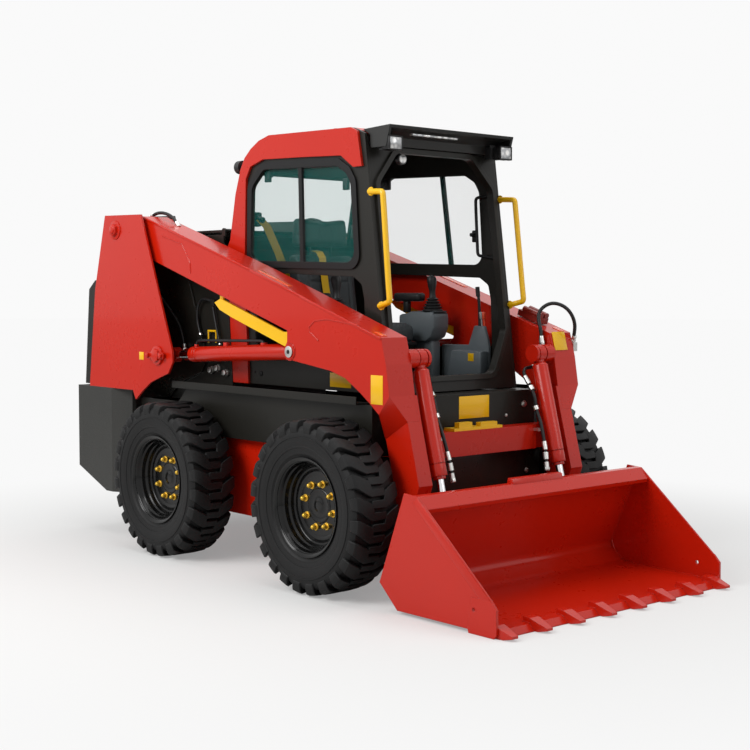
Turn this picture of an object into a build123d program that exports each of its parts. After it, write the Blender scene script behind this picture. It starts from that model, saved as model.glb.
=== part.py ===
from build123d import *
import os
from math import cos, hypot, radians, sin, tan

# Skid steer loader, millimetres. X forward, Y to the operator's left, Z up.
# Origin: middle of the bounding box at floor level.

# ---------------------------------------------------------------- driving dimensions
WHEELBASE = 1220.0
FRONT_AXLE_X = 545.0
REAR_AXLE_X = FRONT_AXLE_X - WHEELBASE
TYRE_R = 395.0
TYRE_WIDTH = 247.0
WHEEL_Y = 711.5
RIM_R = 225.0
LUGS_PER_SIDE = 24

ARM_PIVOT = (-1305.0, 1686.0)
LIFT_TOP_PIN = (199.0, 1072.0)
LIFT_BASE_PIN = (-886.0, 1017.0)
LIFT_CYL_Y = 548.5
TILT_TOP_PIN = (837.0, 1058.0)
TILT_ROD_PIN = (1016.7, 376.7)
TILT_CYL_Y = 395.0
BUCKET_PIVOT = (922.4, 158.9)

ARM_OUTER_Y = 624.0
ARM_INNER_Y = 473.0
LEG_OUTER_Y = 541.0
LEG_INNER_Y = 460.0
TOWER_OUTER_Y = 660.0
TOWER_INNER_Y = 440.0
PLATE = 12.0
TUB_HALF = 500.0
UPPER_HALF = 550.0
CAB_HALF = 440.0
CAB_SKIN = 14.0
BUCKET_HALF = 745.0
TEETH = 8
TOOTH_PITCH = 201.9
RUN_GAP = 0.3
PIN_R = 30.0

os.makedirs("parts", exist_ok=True)


# ---------------------------------------------------------------- helpers
def box(x0, x1, y0, y1, z0, z1):
    """Block between two corners."""
    return Pos((x0 + x1) / 2, (y0 + y1) / 2, (z0 + z1) / 2) * Box(x1 - x0, y1 - y0, z1 - z0)


def rounded(points, corner):
    """Outline through the points, each corner rounded to one radius."""
    return fillet(Polygon(*points, align=None).vertices(), corner)


def side_plate(points, y0, y1, corner=0.0):
    """Plate whose outline lies in the XZ plane, between two Y values."""
    outline = rounded(points, corner) if corner else Polygon(*points, align=None)
    return extrude(Plane.XZ.offset(-y1) * outline, amount=y1 - y0, dir=(0, -1, 0))


def plan_plate(points, z0, z1):
    """Plate whose outline lies in the XY plane, between two heights."""
    outline = Plane.XY.offset(z0) * Polygon(*points, align=None)
    return extrude(outline, amount=z1 - z0, dir=(0, 0, 1))


def cross_pin(centre, radius, y0, y1):
    """Round bar along Y through a point of the XZ plane."""
    x, z = centre
    return Pos(x, (y0 + y1) / 2, z) * Rot(90, 0, 0) * Cylinder(radius, y1 - y0)


def bar_between(start, end, radius):
    """Round bar between two points of space."""
    line = Line(start, end)
    return extrude(Plane(origin=line @ 0, z_dir=line % 0) * Circle(radius), amount=line.length)


def both_sides(shape):
    """The shape and its mirror image across the centre plane."""
    return shape + mirror(shape, about=Plane.XZ)


def tube(points, radius, bend):
    """Round bar along straight runs joined by equal bends."""
    path = FilletPolyline(*points, radius=bend)
    return sweep(Plane(origin=path @ 0, z_dir=path % 0) * Circle(radius), path=path)


def hose(points, radius):
    """Flexible line through its points, each bend as large as its two runs allow."""
    knots = [Vector(*p) for p in points]
    bends = []
    for before, here, after in zip(knots, knots[1:], knots[2:]):
        turn = (here - before).get_angle(after - here)
        run = min((here - before).length, (after - here).length)
        bends.append(0.45 * run / tan(radians(turn) / 2))
    print("hose bends, mm:", [round(b) for b in bends])
    path = FilletPolyline(*points, radius=bends)
    return sweep(Plane(origin=path @ 0, z_dir=path % 0) * Circle(radius), path=path)


def mirrored(points):
    """The same points on the other side of the centre plane."""
    return [(x, -y, z) for x, y, z in points]


def save(name, shape):
    """Write one piece as parts/NAME.step."""
    shape.label = name
    export_step(shape, f"parts/{name}.step")


# ---------------------------------------------------------------- wheels
TREAD_R = 371.0
SHOULDER_Y = 112.0
SHOULDER_R = 366.0
SIDEWALL_R = 330.0
BEAD_Y = 97.5
BEAD_R = 232.0
BORE_R = 210.0
LUG_SHARE = 0.46
SHOULDER_SHARE = 0.76
LUG_SLANT = 9.6
HUB_R = 76.0


def make_tyre():
    """Tyre about the Y axis: one closed polyhedron with two rows of slanted lugs."""
    pitch = 360 / LUGS_PER_SIDE
    half_lug = LUG_SHARE * pitch / 2
    half_end = SHOULDER_SHARE * pitch / 2
    lug_r = TYRE_R / cos(radians(half_lug))
    faces = []

    def at(radius, angle, y):
        return (radius * cos(radians(angle)), y, radius * sin(radians(angle)))

    def face(*corners):
        faces.append(Face(Wire.make_polygon(corners)))

    def strip(a, b, c, d):
        """Two triangles between the edge a-b and the edge c-d."""
        face(a, b, d)
        face(a, d, c)

    for side, phase in ((1, 0.0), (-1, pitch / 2)):
        y_end = side * SHOULDER_Y
        y_wall = side * TYRE_WIDTH / 2
        feet = []
        for k in range(LUGS_PER_SIDE):
            middle = -90 + phase + k * pitch
            a, b, c = middle - half_lug, middle + half_lug, middle - half_lug + pitch
            tip_a, tip_b = middle + pitch / 2 - half_lug, middle + pitch / 2 + half_lug
            end_a, end_b = middle + LUG_SLANT - half_end, middle + LUG_SLANT + half_end
            end_c = end_a + pitch
            low_a, low_b, low_c = (at(TREAD_R, angle, 0) for angle in (a, b, c))
            tip_low_a, tip_low_b = at(TREAD_R, tip_a, 0), at(TREAD_R, tip_b, 0)
            top_a, top_b = at(lug_r, a, 0), at(lug_r, b, 0)
            ends = (end_a, end_b, end_c)
            edge_a, edge_b, edge_c = (at(SHOULDER_R, angle, y_end) for angle in ends)
            crown_a, crown_b = at(TYRE_R - 2, end_a, y_end), at(TYRE_R - 2, end_b, y_end)
            foot_a, foot_b, foot_c = (at(SIDEWALL_R, angle, y_wall) for angle in ends)
            strip(top_a, top_b, crown_a, crown_b)
            strip(low_a, top_a, edge_a, crown_a)
            strip(low_b, top_b, edge_b, crown_b)
            strip(low_a, low_b, top_a, top_b)
            strip(crown_a, crown_b, foot_a, foot_b)
            face(edge_a, crown_a, foot_a)
            face(edge_b, crown_b, foot_b)
            strip(edge_b, edge_c, foot_b, foot_c)
            # the base between two lugs starts at the tip of a lug of the other row
            face(low_b, tip_low_a, edge_b)
            face(tip_low_a, tip_low_b, edge_b)
            face(tip_low_b, edge_c, edge_b)
            face(tip_low_b, low_c, edge_c)
            feet.append((foot_a, foot_b))
        for k in range(LUGS_PER_SIDE):
            turn = -90 + pitch * k
            turn_next = turn + pitch
            bead, bead_next = (at(BEAD_R, angle, side * BEAD_Y) for angle in (turn, turn_next))
            bore, bore_next = (at(BORE_R, angle, side * BEAD_Y) for angle in (turn, turn_next))
            here, following = feet[k], feet[(k + 1) % LUGS_PER_SIDE]
            face(here[0], here[1], bead)
            face(here[1], following[0], bead)
            face(following[0], bead_next, bead)
            strip(bead, bead_next, bore, bore_next)
            if side > 0:
                strip(bore, bore_next, at(BORE_R, turn, -BEAD_Y), at(BORE_R, turn_next, -BEAD_Y))
    return Solid(Shell(faces))


def make_rim():
    """Rim about the Y axis: stepped barrel, flanges, disc, hub and nuts."""
    outside = [(RIM_R, 98), (204, 98), (204, 74), (196, 66), (196, 46), (188, 38), (188, -20), (204, -34),
               (204, -98), (RIM_R, -98), (RIM_R, -106)]
    inside = [(197, -106), (197, -40), (181, -26), (181, 36), (189, 44), (189, 64), (197, 72), (197, 94),
              (212, 106), (RIM_R, 106)]
    barrel = revolve(Plane.XY * Polygon(*outside, *inside, align=None), axis=Axis.Y)
    disc = Pos(0, 11, 0) * Rot(90, 0, 0) * (Cylinder(182, 10) - Cylinder(PIN_R + RUN_GAP, 10))
    hub = Rot(90, 0, 0) * (Cylinder(HUB_R, 40) - Cylinder(PIN_R + RUN_GAP, 40))
    rim = barrel + disc + hub
    for k in range(8):
        angle = 22.5 + 45 * k
        nut = Rot(90, 0, 0) * extrude(RegularPolygon(16, 6), 14, both=True)
        rim += Rot(0, angle, 0) * Pos(101.6, 11, 0) * nut
    return rim


tyre = make_tyre()
rim = make_rim()
# name, axle, side of the machine
wheel_places = [
    ("front_right", FRONT_AXLE_X, -1),
    ("front_left", FRONT_AXLE_X, 1),
    ("rear_right", REAR_AXLE_X, -1),
    ("rear_left", REAR_AXLE_X, 1),
]
for name, axle_x, side in wheel_places:
    place = Pos(axle_x, side * WHEEL_Y, TYRE_R)
    save(f"tyre_{name}", place * (tyre if side > 0 else mirror(tyre, about=Plane.XZ)))
    save(f"rim_{name}", place * (rim if side > 0 else mirror(rim, about=Plane.XZ)))

# ---------------------------------------------------------------- axles
axles = None
for name, axle_x, side in wheel_places:
    inner, outer = sorted((side * TUB_HALF, side * (WHEEL_Y + 16)))
    sleeve_in, sleeve_out = sorted((side * TUB_HALF, side * (WHEEL_Y - 30)))
    axle = cross_pin((axle_x, TYRE_R), PIN_R, inner, outer)
    axle += cross_pin((axle_x, TYRE_R), 75, sleeve_in, sleeve_out)
    axles = axle if axles is None else axles + axle
save("axle_hubs", axles)

# ---------------------------------------------------------------- chassis
TUB_BOTTOM = 222.0
TUB_TOP = 613.0
TUB_REAR = -1230.0
TUB_FRONT = 760.0
LEDGE_Z = 847.0
NOSE_HALF = 440.0
tub = box(TUB_REAR, TUB_FRONT, -TUB_HALF, TUB_HALF, TUB_BOTTOM, TUB_TOP)
tub -= box(TUB_REAR + 12, TUB_FRONT - 12, -TUB_HALF + 12, TUB_HALF - 12, TUB_BOTTOM + 12, TUB_TOP)
save("main_frame", tub)

TOWER_FOOT_Z = 771.0
upper_outline = [(TUB_REAR, TUB_TOP), (770, TUB_TOP), (770, LEDGE_Z), (-780, LEDGE_Z), (-860, TOWER_FOOT_Z),
                 (TUB_REAR, TOWER_FOOT_Z)]
upper = side_plate(upper_outline, -UPPER_HALF, UPPER_HALF)
upper -= box(TUB_REAR + 10, 690, -UPPER_HALF + 10, UPPER_HALF - 10, TUB_TOP, LEDGE_Z)
upper -= box(690, 760, -NOSE_HALF + 10, NOSE_HALF - 10, TUB_TOP, LEDGE_Z)
upper -= both_sides(box(700, 770, NOSE_HALF, UPPER_HALF, TUB_TOP, LEDGE_Z))
save("upper_frame", upper)

ledge = box(-847, 647, 500, 600, LEDGE_Z, 853) + box(-847, 647, 594, 600, LEDGE_Z, 884)
save("side_ledges", both_sides(ledge))

front_plate = box(773, 785, -430, 430, 600, 880) + box(672, 785, -430, 430, 868, 880)
save("front_plate", front_plate)

ENGINE = dict(x0=-1210, x1=-640, y0=-280, y1=280, z0=TUB_BOTTOM + 12, z1=1080)
save("engine_block", box(**ENGINE))

# ---------------------------------------------------------------- rear bumper
BUMPER_TOP = 820.0
bumper_plan = [(-1725, -TOWER_OUTER_Y), (-1362, -TOWER_OUTER_Y), (-1243, -600), (-1243, -575), (-1375, -635),
               (-1683, -635), (-1683, 635), (-1375, 635), (-1243, 575), (-1243, 600), (-1362, TOWER_OUTER_Y),
               (-1725, TOWER_OUTER_Y)]
bumper_side = [(-1725, BUMPER_TOP), (-1725, 359), (-1426, 242), (-1243, 242), (-1243, BUMPER_TOP)]
bumper = plan_plate(bumper_plan, 242, BUMPER_TOP)
bumper &= side_plate(bumper_side, -TOWER_OUTER_Y, TOWER_OUTER_Y)
bumper += box(-1683, -1243, 553, 590, 560, 600) + box(-1683, -1243, -590, -553, 560, 600)
bumper += box(-1243, TUB_REAR, -590, 590, 560, 600)
save("rear_bumper", bumper)

# ---------------------------------------------------------------- towers
tower_rear = [(-1598, BUMPER_TOP), (-1528, 1364), (-1414, 1769)]
tower_front = [(-1048, 1762), (-752, 1042), (-748, 985), (-790, 925), (-869, 901), (-960, 870), (-1040, 822),
               (-1110, TOWER_FOOT_Z), (-1139, BUMPER_TOP)]
tower_outline = tower_rear + tower_front


def make_tower():
    """Left tower: two side plates, a back plate, pins and their collars."""
    outer = side_plate(tower_outline, TOWER_OUTER_Y - PLATE, TOWER_OUTER_Y)
    inner = side_plate(tower_outline, TOWER_INNER_Y, TOWER_INNER_Y + PLATE)
    back_inner = [(x + 12, z) for x, z in reversed(tower_rear)]
    back = side_plate(tower_rear + back_inner, TOWER_INNER_Y, TOWER_OUTER_Y)
    tower = outer + inner + back
    tower += cross_pin(ARM_PIVOT, PIN_R, TOWER_INNER_Y, TOWER_OUTER_Y + 6)
    tower += cross_pin(ARM_PIVOT, 48, TOWER_OUTER_Y, TOWER_OUTER_Y + 4)
    tower += cross_pin(LIFT_BASE_PIN, 32, TOWER_OUTER_Y - 40, TOWER_OUTER_Y + 22)
    tower += cross_pin(LIFT_BASE_PIN, 46, TOWER_OUTER_Y, TOWER_OUTER_Y + 10)
    tower += cross_pin(LIFT_BASE_PIN, 32, TOWER_INNER_Y, TOWER_INNER_Y + 45)
    for x0, x1, z0, z1 in ((-1240, -1200, 1345, 1385), (-946, -906, 1000, 1040)):
        tower += box(x0, x1, TOWER_INNER_Y + PLATE, TOWER_INNER_Y + 38, z0, z1)
    return tower


DOOR_PIN = (-1632.0, 606.0)
DOOR_HINGE_Z = (930.0, 1270.0)
pin_x, pin_y = DOOR_PIN
towers = both_sides(make_tower())
for hinge_z in DOOR_HINGE_Z:
    lug = plan_plate([(pin_x - 5, pin_y + 7), (pin_x + 6, pin_y - 7), (-1560, 648), (-1530, 655), (-1545, 660),
                      (-1582, 657)], hinge_z - 9, hinge_z + 9)
    lug += Pos(pin_x, pin_y, hinge_z) * Cylinder(10, 18)
    towers += lug + Pos(pin_x, pin_y, hinge_z) * Cylinder(6.5, 80)
save("towers", towers)

# ---------------------------------------------------------------- engine bay, hood and rear door
BAY_HALF = 438.0
HOOD_FRONT_X = -600.0
HOOD_Z = 1660.0
bay_outline = [(-1515, TOWER_FOOT_Z + 60), (-1460, 1420), (-1395, 1648), (HOOD_FRONT_X, 1648),
               (HOOD_FRONT_X, 1600), (-573, 1580), (-548, 1156), (-525, 885), (-525, 853),
               (-780, 853), (-860, TOWER_FOOT_Z), (-1200, TOWER_FOOT_Z)]
HOOD_HINGE = (HOOD_FRONT_X, HOOD_Z + 6)
bay = side_plate(bay_outline, BAY_HALF - 10, BAY_HALF) + cross_pin(HOOD_HINGE, 16, BAY_HALF - 10, BAY_HALF)
bay += side_plate([(-616, 1640), (-584, 1640), (-584, 1666), (-616, 1666)], BAY_HALF - 10, BAY_HALF)
bay += cross_pin(HOOD_HINGE, 7, BAY_HALF - 44, BAY_HALF)
for x0, x1, z0, z1 in ((-672, -638, 1278, 1312), (-792, -758, 1090, 1124), (-618, -584, 1044, 1078)):
    bay += box(x0, x1, BAY_HALF, BAY_HALF + 34, z0, z1)
save("engine_bay_sides", both_sides(bay) - towers)

hood_outline = [(HOOD_FRONT_X, HOOD_Z), (-1400, HOOD_Z), (-1492, 1432), (-1506, 1432), (-1414, HOOD_Z + 14),
                (HOOD_FRONT_X, HOOD_Z + 14)]
hood = side_plate(hood_outline, -424, 424)
for k in range(9):
    slot_x = -1290 + 62 * k
    hood -= box(slot_x, slot_x + 30, -330, -30, HOOD_Z - 5, HOOD_Z + 20)
    hood -= box(slot_x, slot_x + 30, 30, 330, HOOD_Z - 5, HOOD_Z + 20)
for side in (-1, 1):
    inner, outer = sorted((side * (BAY_HALF - 46), side * 424))
    hood += cross_pin(HOOD_HINGE, 13, inner, outer)
    hood -= cross_pin(HOOD_HINGE, 7 + RUN_GAP, inner - 1, outer + 1)
save("hood", hood)

DOOR_HALF = 620.0
DOOR_BOTTOM = 828.0
DOOR_TOP = 1415.0
door_rear = [(-1713, DOOR_BOTTOM), (-1664, 1364), (-1596, DOOR_TOP)]
door_front = [(-1521, DOOR_TOP), (-1535, 1364), (-1604, DOOR_BOTTOM)]
door = side_plate(door_rear + door_front, -DOOR_HALF, DOOR_HALF)
hollow = [(-1693, DOOR_BOTTOM + 20), (-1648, 1356), (-1592, DOOR_TOP - 20), (-1400, DOOR_TOP - 20),
          (-1400, DOOR_BOTTOM + 20)]
door -= side_plate(hollow, -DOOR_HALF + 20, DOOR_HALF - 20)
for k in range(7):
    door -= box(-1740, -1660, -400, 400, 900 + 52 * k, 924 + 52 * k)
for hinge_z in DOOR_HINGE_Z:
    door += Pos(pin_x, pin_y, hinge_z) * Cylinder(13.5, 130)
    door -= box(pin_x - 36, pin_x + 90, pin_y - 17, DOOR_HALF + 5, hinge_z - 14, hinge_z + 14)
    door -= Pos(pin_x, pin_y, hinge_z) * Cylinder(6.5 + RUN_GAP, 90)
save("rear_door", door)

# ---------------------------------------------------------------- cab
cab_rear_edge = [(-516, 885), (-539, 1156), (-564, 1580), (-537, 1620), (-490, 1848), (-445, 1973)]
cab_roof_edge = [(-410, 2028), (-358, 2070), (-290, 2106), (-207, 2127), (421, 2113), (467, 2097)]
cab_front_edge = [(505, 2080), (513, 2022), (632, 1172), (670, 885)]
cab_outline = cab_rear_edge + cab_roof_edge + cab_front_edge
window_cut = [(-368, 1510), (-355, 1878), (-258, 1961), (313, 1943), (384, 1904), (416, 1854), (444, 1489)]
WINDOW_CORNER = 55.0
lower_cut = [(-340, 1432), (-277, 1448), (425, 1424), (485, 1388), (503, 1316), (515, 1070), (-340, 1070)]
cab_side = side_plate(cab_outline, CAB_HALF - 2 * CAB_SKIN, CAB_HALF - CAB_SKIN)
cab_side -= side_plate(window_cut, 0, CAB_HALF, WINDOW_CORNER)
cab_side -= side_plate(lower_cut, 0, CAB_HALF, 30)
save("cab_sides", both_sides(cab_side))

cover_inner = [(467, 2093), (499, 1930), (439, 1929), (349, 1988), (48, 2001), (-258, 2011), (-362, 1982),
               (-400, 1922), (-411, 1541), (-399, 1159), (-385, 885)]
cover = side_plate(cab_rear_edge + cab_roof_edge[:-1] + cover_inner, CAB_HALF - CAB_SKIN, CAB_HALF)
save("cab_covers", both_sides(cover))

frame_outer = [(-400, 1476), (-392, 1894), (-271, 1998), (322, 1979), (409, 1930), (451, 1869), (482, 1456)]
window_frame = side_plate(frame_outer, CAB_HALF - CAB_SKIN, CAB_HALF - 4, WINDOW_CORNER + 14)
window_frame -= side_plate(window_cut, 0, CAB_HALF, WINDOW_CORNER)
# side, foot and head of the bar between the two panes
bar_places = [(-1, 36, 1508, 20, 1961), (1, 196, 1499, 118, 1957)]
frames = both_sides(window_frame)
for side, x_low, z_low, x_high, z_high in bar_places:
    inner, outer = sorted((side * (CAB_HALF - 20), side * (CAB_HALF - 6)))
    bar = side_plate([(x_low, z_low - 30), (x_low + 26, z_low - 30), (x_high + 26, z_high + 30),
                      (x_high, z_high + 30)], inner, outer)
    frames += bar & side_plate(window_cut, inner, outer, WINDOW_CORNER)
save("window_frames", frames)

IN_HALF = CAB_HALF - 2 * CAB_SKIN
roof_under = [(467, 2084), (419, 2100), (-205, 2114), (-284, 2094), (-350, 2060), (-399, 2020), (-433, 1968)]
roof = side_plate([(-445, 1973)] + cab_roof_edge + roof_under, -IN_HALF, IN_HALF)
save("cab_roof", roof)

rear_wall = [(-516, 885), (-539, 1156), (-564, 1580), (-537, 1620), (-490, 1848), (-445, 1973), (-433, 1968),
             (-477, 1846), (-524, 1618), (-552, 1576), (-527, 1156), (-504, 885)]
rear_panel = side_plate(rear_wall, -IN_HALF, IN_HALF)
rear_panel -= box(-600, -400, -340, 340, 1640, 1950)
save("cab_rear", rear_panel)
glass_edge = [(-529, 1640), (-525, 1640), (-482, 1846), (-444, 1949), (-448, 1950), (-486, 1847)]
rear_glass = side_plate(glass_edge, -340, 340)

save("cab_floor", box(-504, 638, -IN_HALF, IN_HALF, 885, 897))

front_wall = [(513, 2022), (632, 1172), (670, 885), (640, 885), (603, 1172), (484, 2022)]
front_frame = side_plate(front_wall, -IN_HALF, IN_HALF)
# half width and height of each corner of the entry
entry = [(245, 2000), (372, 1856), (372, 1160), (262, 958)]
entry_outline = [(-y, z) for y, z in entry] + [(y, z) for y, z in reversed(entry)]
entry_face = Plane.YZ.offset(300) * rounded(entry_outline, 60)
lip_corners = [(258, 2024), (396, 1864), (396, 1152), (275, 934)]
lip_outline = [(-y, z) for y, z in lip_corners] + [(y, z) for y, z in reversed(lip_corners)]
lip_face = Plane.YZ.offset(300) * rounded(lip_outline, 80)
lip = extrude(lip_face, amount=500, dir=(1, 0, 0))
lip_depth = [(511, 2040), (526, 2040), (644, 1172), (686, 885), (670, 885), (632, 1172)]
lip &= side_plate(lip_depth, -IN_HALF, IN_HALF)
front_frame += lip
front_frame -= extrude(entry_face, amount=500, dir=(1, 0, 0))
save("cab_front_frame", front_frame)

visor_top = [(470, 2102), (656, 2110), (653, 2096), (604, 2088), (552, 2066), (536, 2028), (524, 2028),
             (530, 2062), (512, 2078)]
visor_end = [(518, 2092), (656, 2110), (629, 2013), (524, 2013)]
visor = side_plate(visor_top, -406, 406) + both_sides(side_plate(visor_end, 392, 406))
save("visor", visor)

lamp = box(560, 600, 306, 386, 2001, 2058) + box(545, 575, 326, 366, 2050, 2072)
lamps = both_sides(lamp)
rear_lamp = Pos(-500, 395, 1990) * Rot(0, 90, 0) * Cylinder(34, 36) + box(-490, -440, 385, 405, 1978, 2002)
lamps += both_sides(rear_lamp - side_plate(cab_outline, 0, IN_HALF))
lamps += Pos(455, -155, 1982) * Rot(0, 90, 0) * Cylinder(28, 24) + box(450, 485, -165, -145, 2004, 2014)
save("work_lamps", lamps - visor)

handle_points = [(540, 430, 1812), (640, 435, 1806), (698, 443, 1310), (616, 428, 1289)]
handles = both_sides(tube(handle_points, 14, 34)) - side_plate(cab_outline, -CAB_HALF, CAB_HALF)
inner_handle = tube([(518, 396, 1834), (408, 396, 1824), (426, 396, 1536), (562, 396, 1518)], 8, 26)
handles += inner_handle - side_plate(front_wall, 0, CAB_HALF)
save("grab_handles", handles)

glass = both_sides(side_plate(window_cut, IN_HALF + 2, IN_HALF + 7, WINDOW_CORNER))
save("cab_windows", glass + rear_glass)

# ---------------------------------------------------------------- seat and controls
cushion_side = [(-320, 1090), (150, 1090), (170, 1120), (165, 1165), (120, 1190), (-320, 1175)]
cushion = side_plate(cushion_side, -235, 235)
back_side = [(-350, 1150), (-235, 1150), (-285, 1530), (-310, 1562), (-372, 1562), (-392, 1500)]
back = side_plate(back_side, -212, 212)
rest_side = [(-385, 1575), (-300, 1575), (-305, 1700), (-330, 1742), (-372, 1738), (-392, 1690)]
headrest = side_plate(rest_side, -172, 172)
posts = both_sides(box(-358, -338, 60, 80, 1550, 1580))
seat = cushion + back + headrest + posts + box(-300, 130, -190, 190, 897, 1095)
save("seat", seat)

pod = box(-30, 239, 268, 385, 1095, 1255) + box(60, 200, 300, 360, 897, 1100)
lower_side = [(172, 897), (515, 897), (515, 1080), (480, 1187), (405, 1187), (365, 1085), (172, 1085)]
lower_box = side_plate(lower_side, 388, 410)
lower_box += side_plate([(260, 897), (515, 897), (515, 1060), (300, 1060)], 330, 390)
armrest = box(-92, 108, 285, 345, 1300, 1350) + box(-30, 10, 300, 330, 1250, 1305)
consoles = both_sides(pod + lower_box + armrest)
save("consoles", consoles)

# foot of the bellows, lean of the grip
stick = Pos(180, 322, 1300) * Cone(46, 20, 90) + bar_between((180, 322, 1340), (172, 318, 1400), 11)
stick += Pos(170, 317, 1412) * Sphere(23)
levers = bar_between((440, 399, 1185), (425, 399, 1366), 9)
for lever_x in (458, 476):
    levers += bar_between((lever_x, 399, 1180), (lever_x - 4, 399, 1240), 7)
save("joysticks", both_sides(stick) + levers - consoles)

# ---------------------------------------------------------------- lift arms
arm_top = [(-1305, 1758), (-1076, 1754), (-113, 1464), (277, 1339), (843, 1154)]
knee_front = [(875, 1038), (898, 900)]
knee_low = [(829, 817), (770, 862), (702, 908), (648, 939), (599, 967), (494, 996)]
lug_edge = [(215, 1032), (177, 1040), (160, 1072), (165, 1100), (177, 1118), (177, 1172)]
arm_tail = [(-1305, 1614)]
arm_outline = arm_top + knee_front + knee_low + lug_edge + arm_tail
core_outline = arm_top + knee_front + knee_low + [(440, 1090), (177, 1172)] + arm_tail


def make_arm():
    """Left lift arm: box beam, knee, gusset and its pin bosses."""
    arm = side_plate(arm_outline, ARM_OUTER_Y - PLATE, ARM_OUTER_Y)
    arm += side_plate(arm_outline, ARM_INNER_Y, ARM_INNER_Y + PLATE)
    arm += side_plate(core_outline, ARM_INNER_Y, ARM_OUTER_Y)
    arm += cross_pin(ARM_PIVOT, 72, ARM_INNER_Y, ARM_OUTER_Y)
    sections = []
    # outer Y, then X and Z of the front and rear edge of each end of the gusset
    gusset_ends = [(ARM_OUTER_Y, 898, 900, 829, 817), (LEG_OUTER_Y, 926, 787, 780, 700)]
    for outer_y, x_front, z_front, x_rear, z_rear in gusset_ends:
        corners = [(x_front, ARM_INNER_Y, z_front), (x_front, outer_y, z_front), (x_rear, outer_y, z_rear),
                   (x_rear, ARM_INNER_Y, z_rear)]
        sections.append(Face(Wire.make_polygon(corners)))
    arm += loft(sections, ruled=True)
    arm -= cross_pin(ARM_PIVOT, PIN_R + RUN_GAP, 0, 700)
    arm += cross_pin(LIFT_TOP_PIN, 25, ARM_INNER_Y, ARM_OUTER_Y + 8)
    arm += cross_pin(LIFT_TOP_PIN, 38, ARM_OUTER_Y, ARM_OUTER_Y + 5)
    arm += cross_pin(TILT_TOP_PIN, 22, 352, ARM_INNER_Y + 5)
    arm += cross_pin(TILT_TOP_PIN, 42, 423, ARM_INNER_Y + 5) + cross_pin(TILT_TOP_PIN, 42, 352, 367)
    return arm


arm = make_arm()
save("arm_beams", both_sides(arm))

leg_outline = [(898, 900), (926, 787), (1000, 510), (980, 455), (966, 170), (945, 120), (900, 120), (876, 165),
               (862, 380), (829, 540), (769, 750), (760, 868)]
leg = side_plate(leg_outline, LEG_INNER_Y, LEG_OUTER_Y)
leg -= cross_pin(BUCKET_PIVOT, 24 + RUN_GAP, 0, 700)
save("arm_legs", both_sides(leg - arm))

# the front of the beam steps back behind the two tilt cylinders
BEAM_FRONT_X = 885.0
beam_plan = [(802, -LEG_INNER_Y), (862, -LEG_INNER_Y), (862, -350), (BEAM_FRONT_X, -335), (BEAM_FRONT_X, 335),
             (862, 350), (862, LEG_INNER_Y), (802, LEG_INNER_Y)]
save("arm_crossbeam", plan_plate(beam_plan, 605, 720))
step_plate = box(815, 882, -213, 103, 720, 733)
step_plate += box(850, 880, -180, -95, 733, 758) + box(850, 880, -40, 70, 733, 752)
save("beam_step", step_plate)

bar_outline = [(-446, 1298), (-393, 1318), (146, 1155), (153, 1089), (-308, 1229), (-403, 1263)]
lock_bar = side_plate(bar_outline, 592, 604)
lock_bar += side_plate([(120, 1163), (150, 1085), (199, 1028), (243, 1072), (199, 1116), (160, 1165)], 592, 604)
lock_bar -= cross_pin(LIFT_TOP_PIN, 25, 500, 640)
lock_bar += side_plate([(-415, 1300), (-385, 1300), (-385, 1350), (-415, 1350)], 582, 592)
save("lock_bars", both_sides(lock_bar - arm))

# hoses and pipes that the arms carry: their ends are held, and no part of them hangs
line_right = [(778, -472, 988), (778, -336, 988), (866, -330, 882), (884, -330, 806), (918, -330, 735),
              (956, -320, 612), (976, -312, 512)]
knee_loop = [(815, 452, 1096), (802, 452, 1166), (778, 458, 1230), (784, 475, 1273), (824, 510, 1302),
             (873, 550, 1283), (890, 590, 1234), (878, 622, 1169), (846, 640, 1105)]
pivot_loop = [(-1178, 520, 1752), (-1128, 520, 1772), (-1062, 520, 1778), (-985, 520, 1764), (-925, 520, 1732),
              (-893, 520, 1694)]
lines = [line_right, mirrored(line_right)]


def ring_on(points, index, share, length, radius):
    """Collar on a hose: share of the run after a point, its length and radius."""
    start, end = Vector(*points[index]), Vector(*points[index + 1])
    along_run = (end - start).normalized()
    middle = start + (end - start) * share
    return bar_between(middle - along_run * (length / 2), middle + along_run * (length / 2), radius)


fittings = box(798, 832, 452, ARM_INNER_Y, 1062, 1096) + box(828, 866, ARM_OUTER_Y, 652, 1062, 1106)
# point the run starts at, share of the run, length, radius
for index, share, length, radius in ((1, 0.55, 46, 12), (1, 0.9, 22, 14), (3, 0.1, 20, 14), (4, 0.9, 40, 12),
                                     (5, 0.35, 34, 14), (5, 0.8, 34, 12)):
    for points in lines:
        fittings += ring_on(points, index, share, length, radius)
fittings += both_sides(box(BEAM_FRONT_X, 915, 318, 342, 690, 704))
fittings += ring_on(knee_loop, 0, 0.3, 26, 13)
block = Pos(672, 540, 1231) * Rot(0, 18.1, 0) * Box(150, 64, 30)
for coupling_y in (520, 560):
    block += Pos(690, coupling_y, 1252) * Rot(0, 18.1, 0) * Rot(0, 90, 0) * Cylinder(15, 120)
fittings += block
save("arm_fittings", fittings - arm)

hoses = hose(knee_loop, 9) + hose(pivot_loop, 9) + hose(mirrored(pivot_loop), 9)
for points in lines:
    hoses += hose(points, 8.5)
save("arm_hoses", hoses - both_sides(arm) - fittings)

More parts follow.
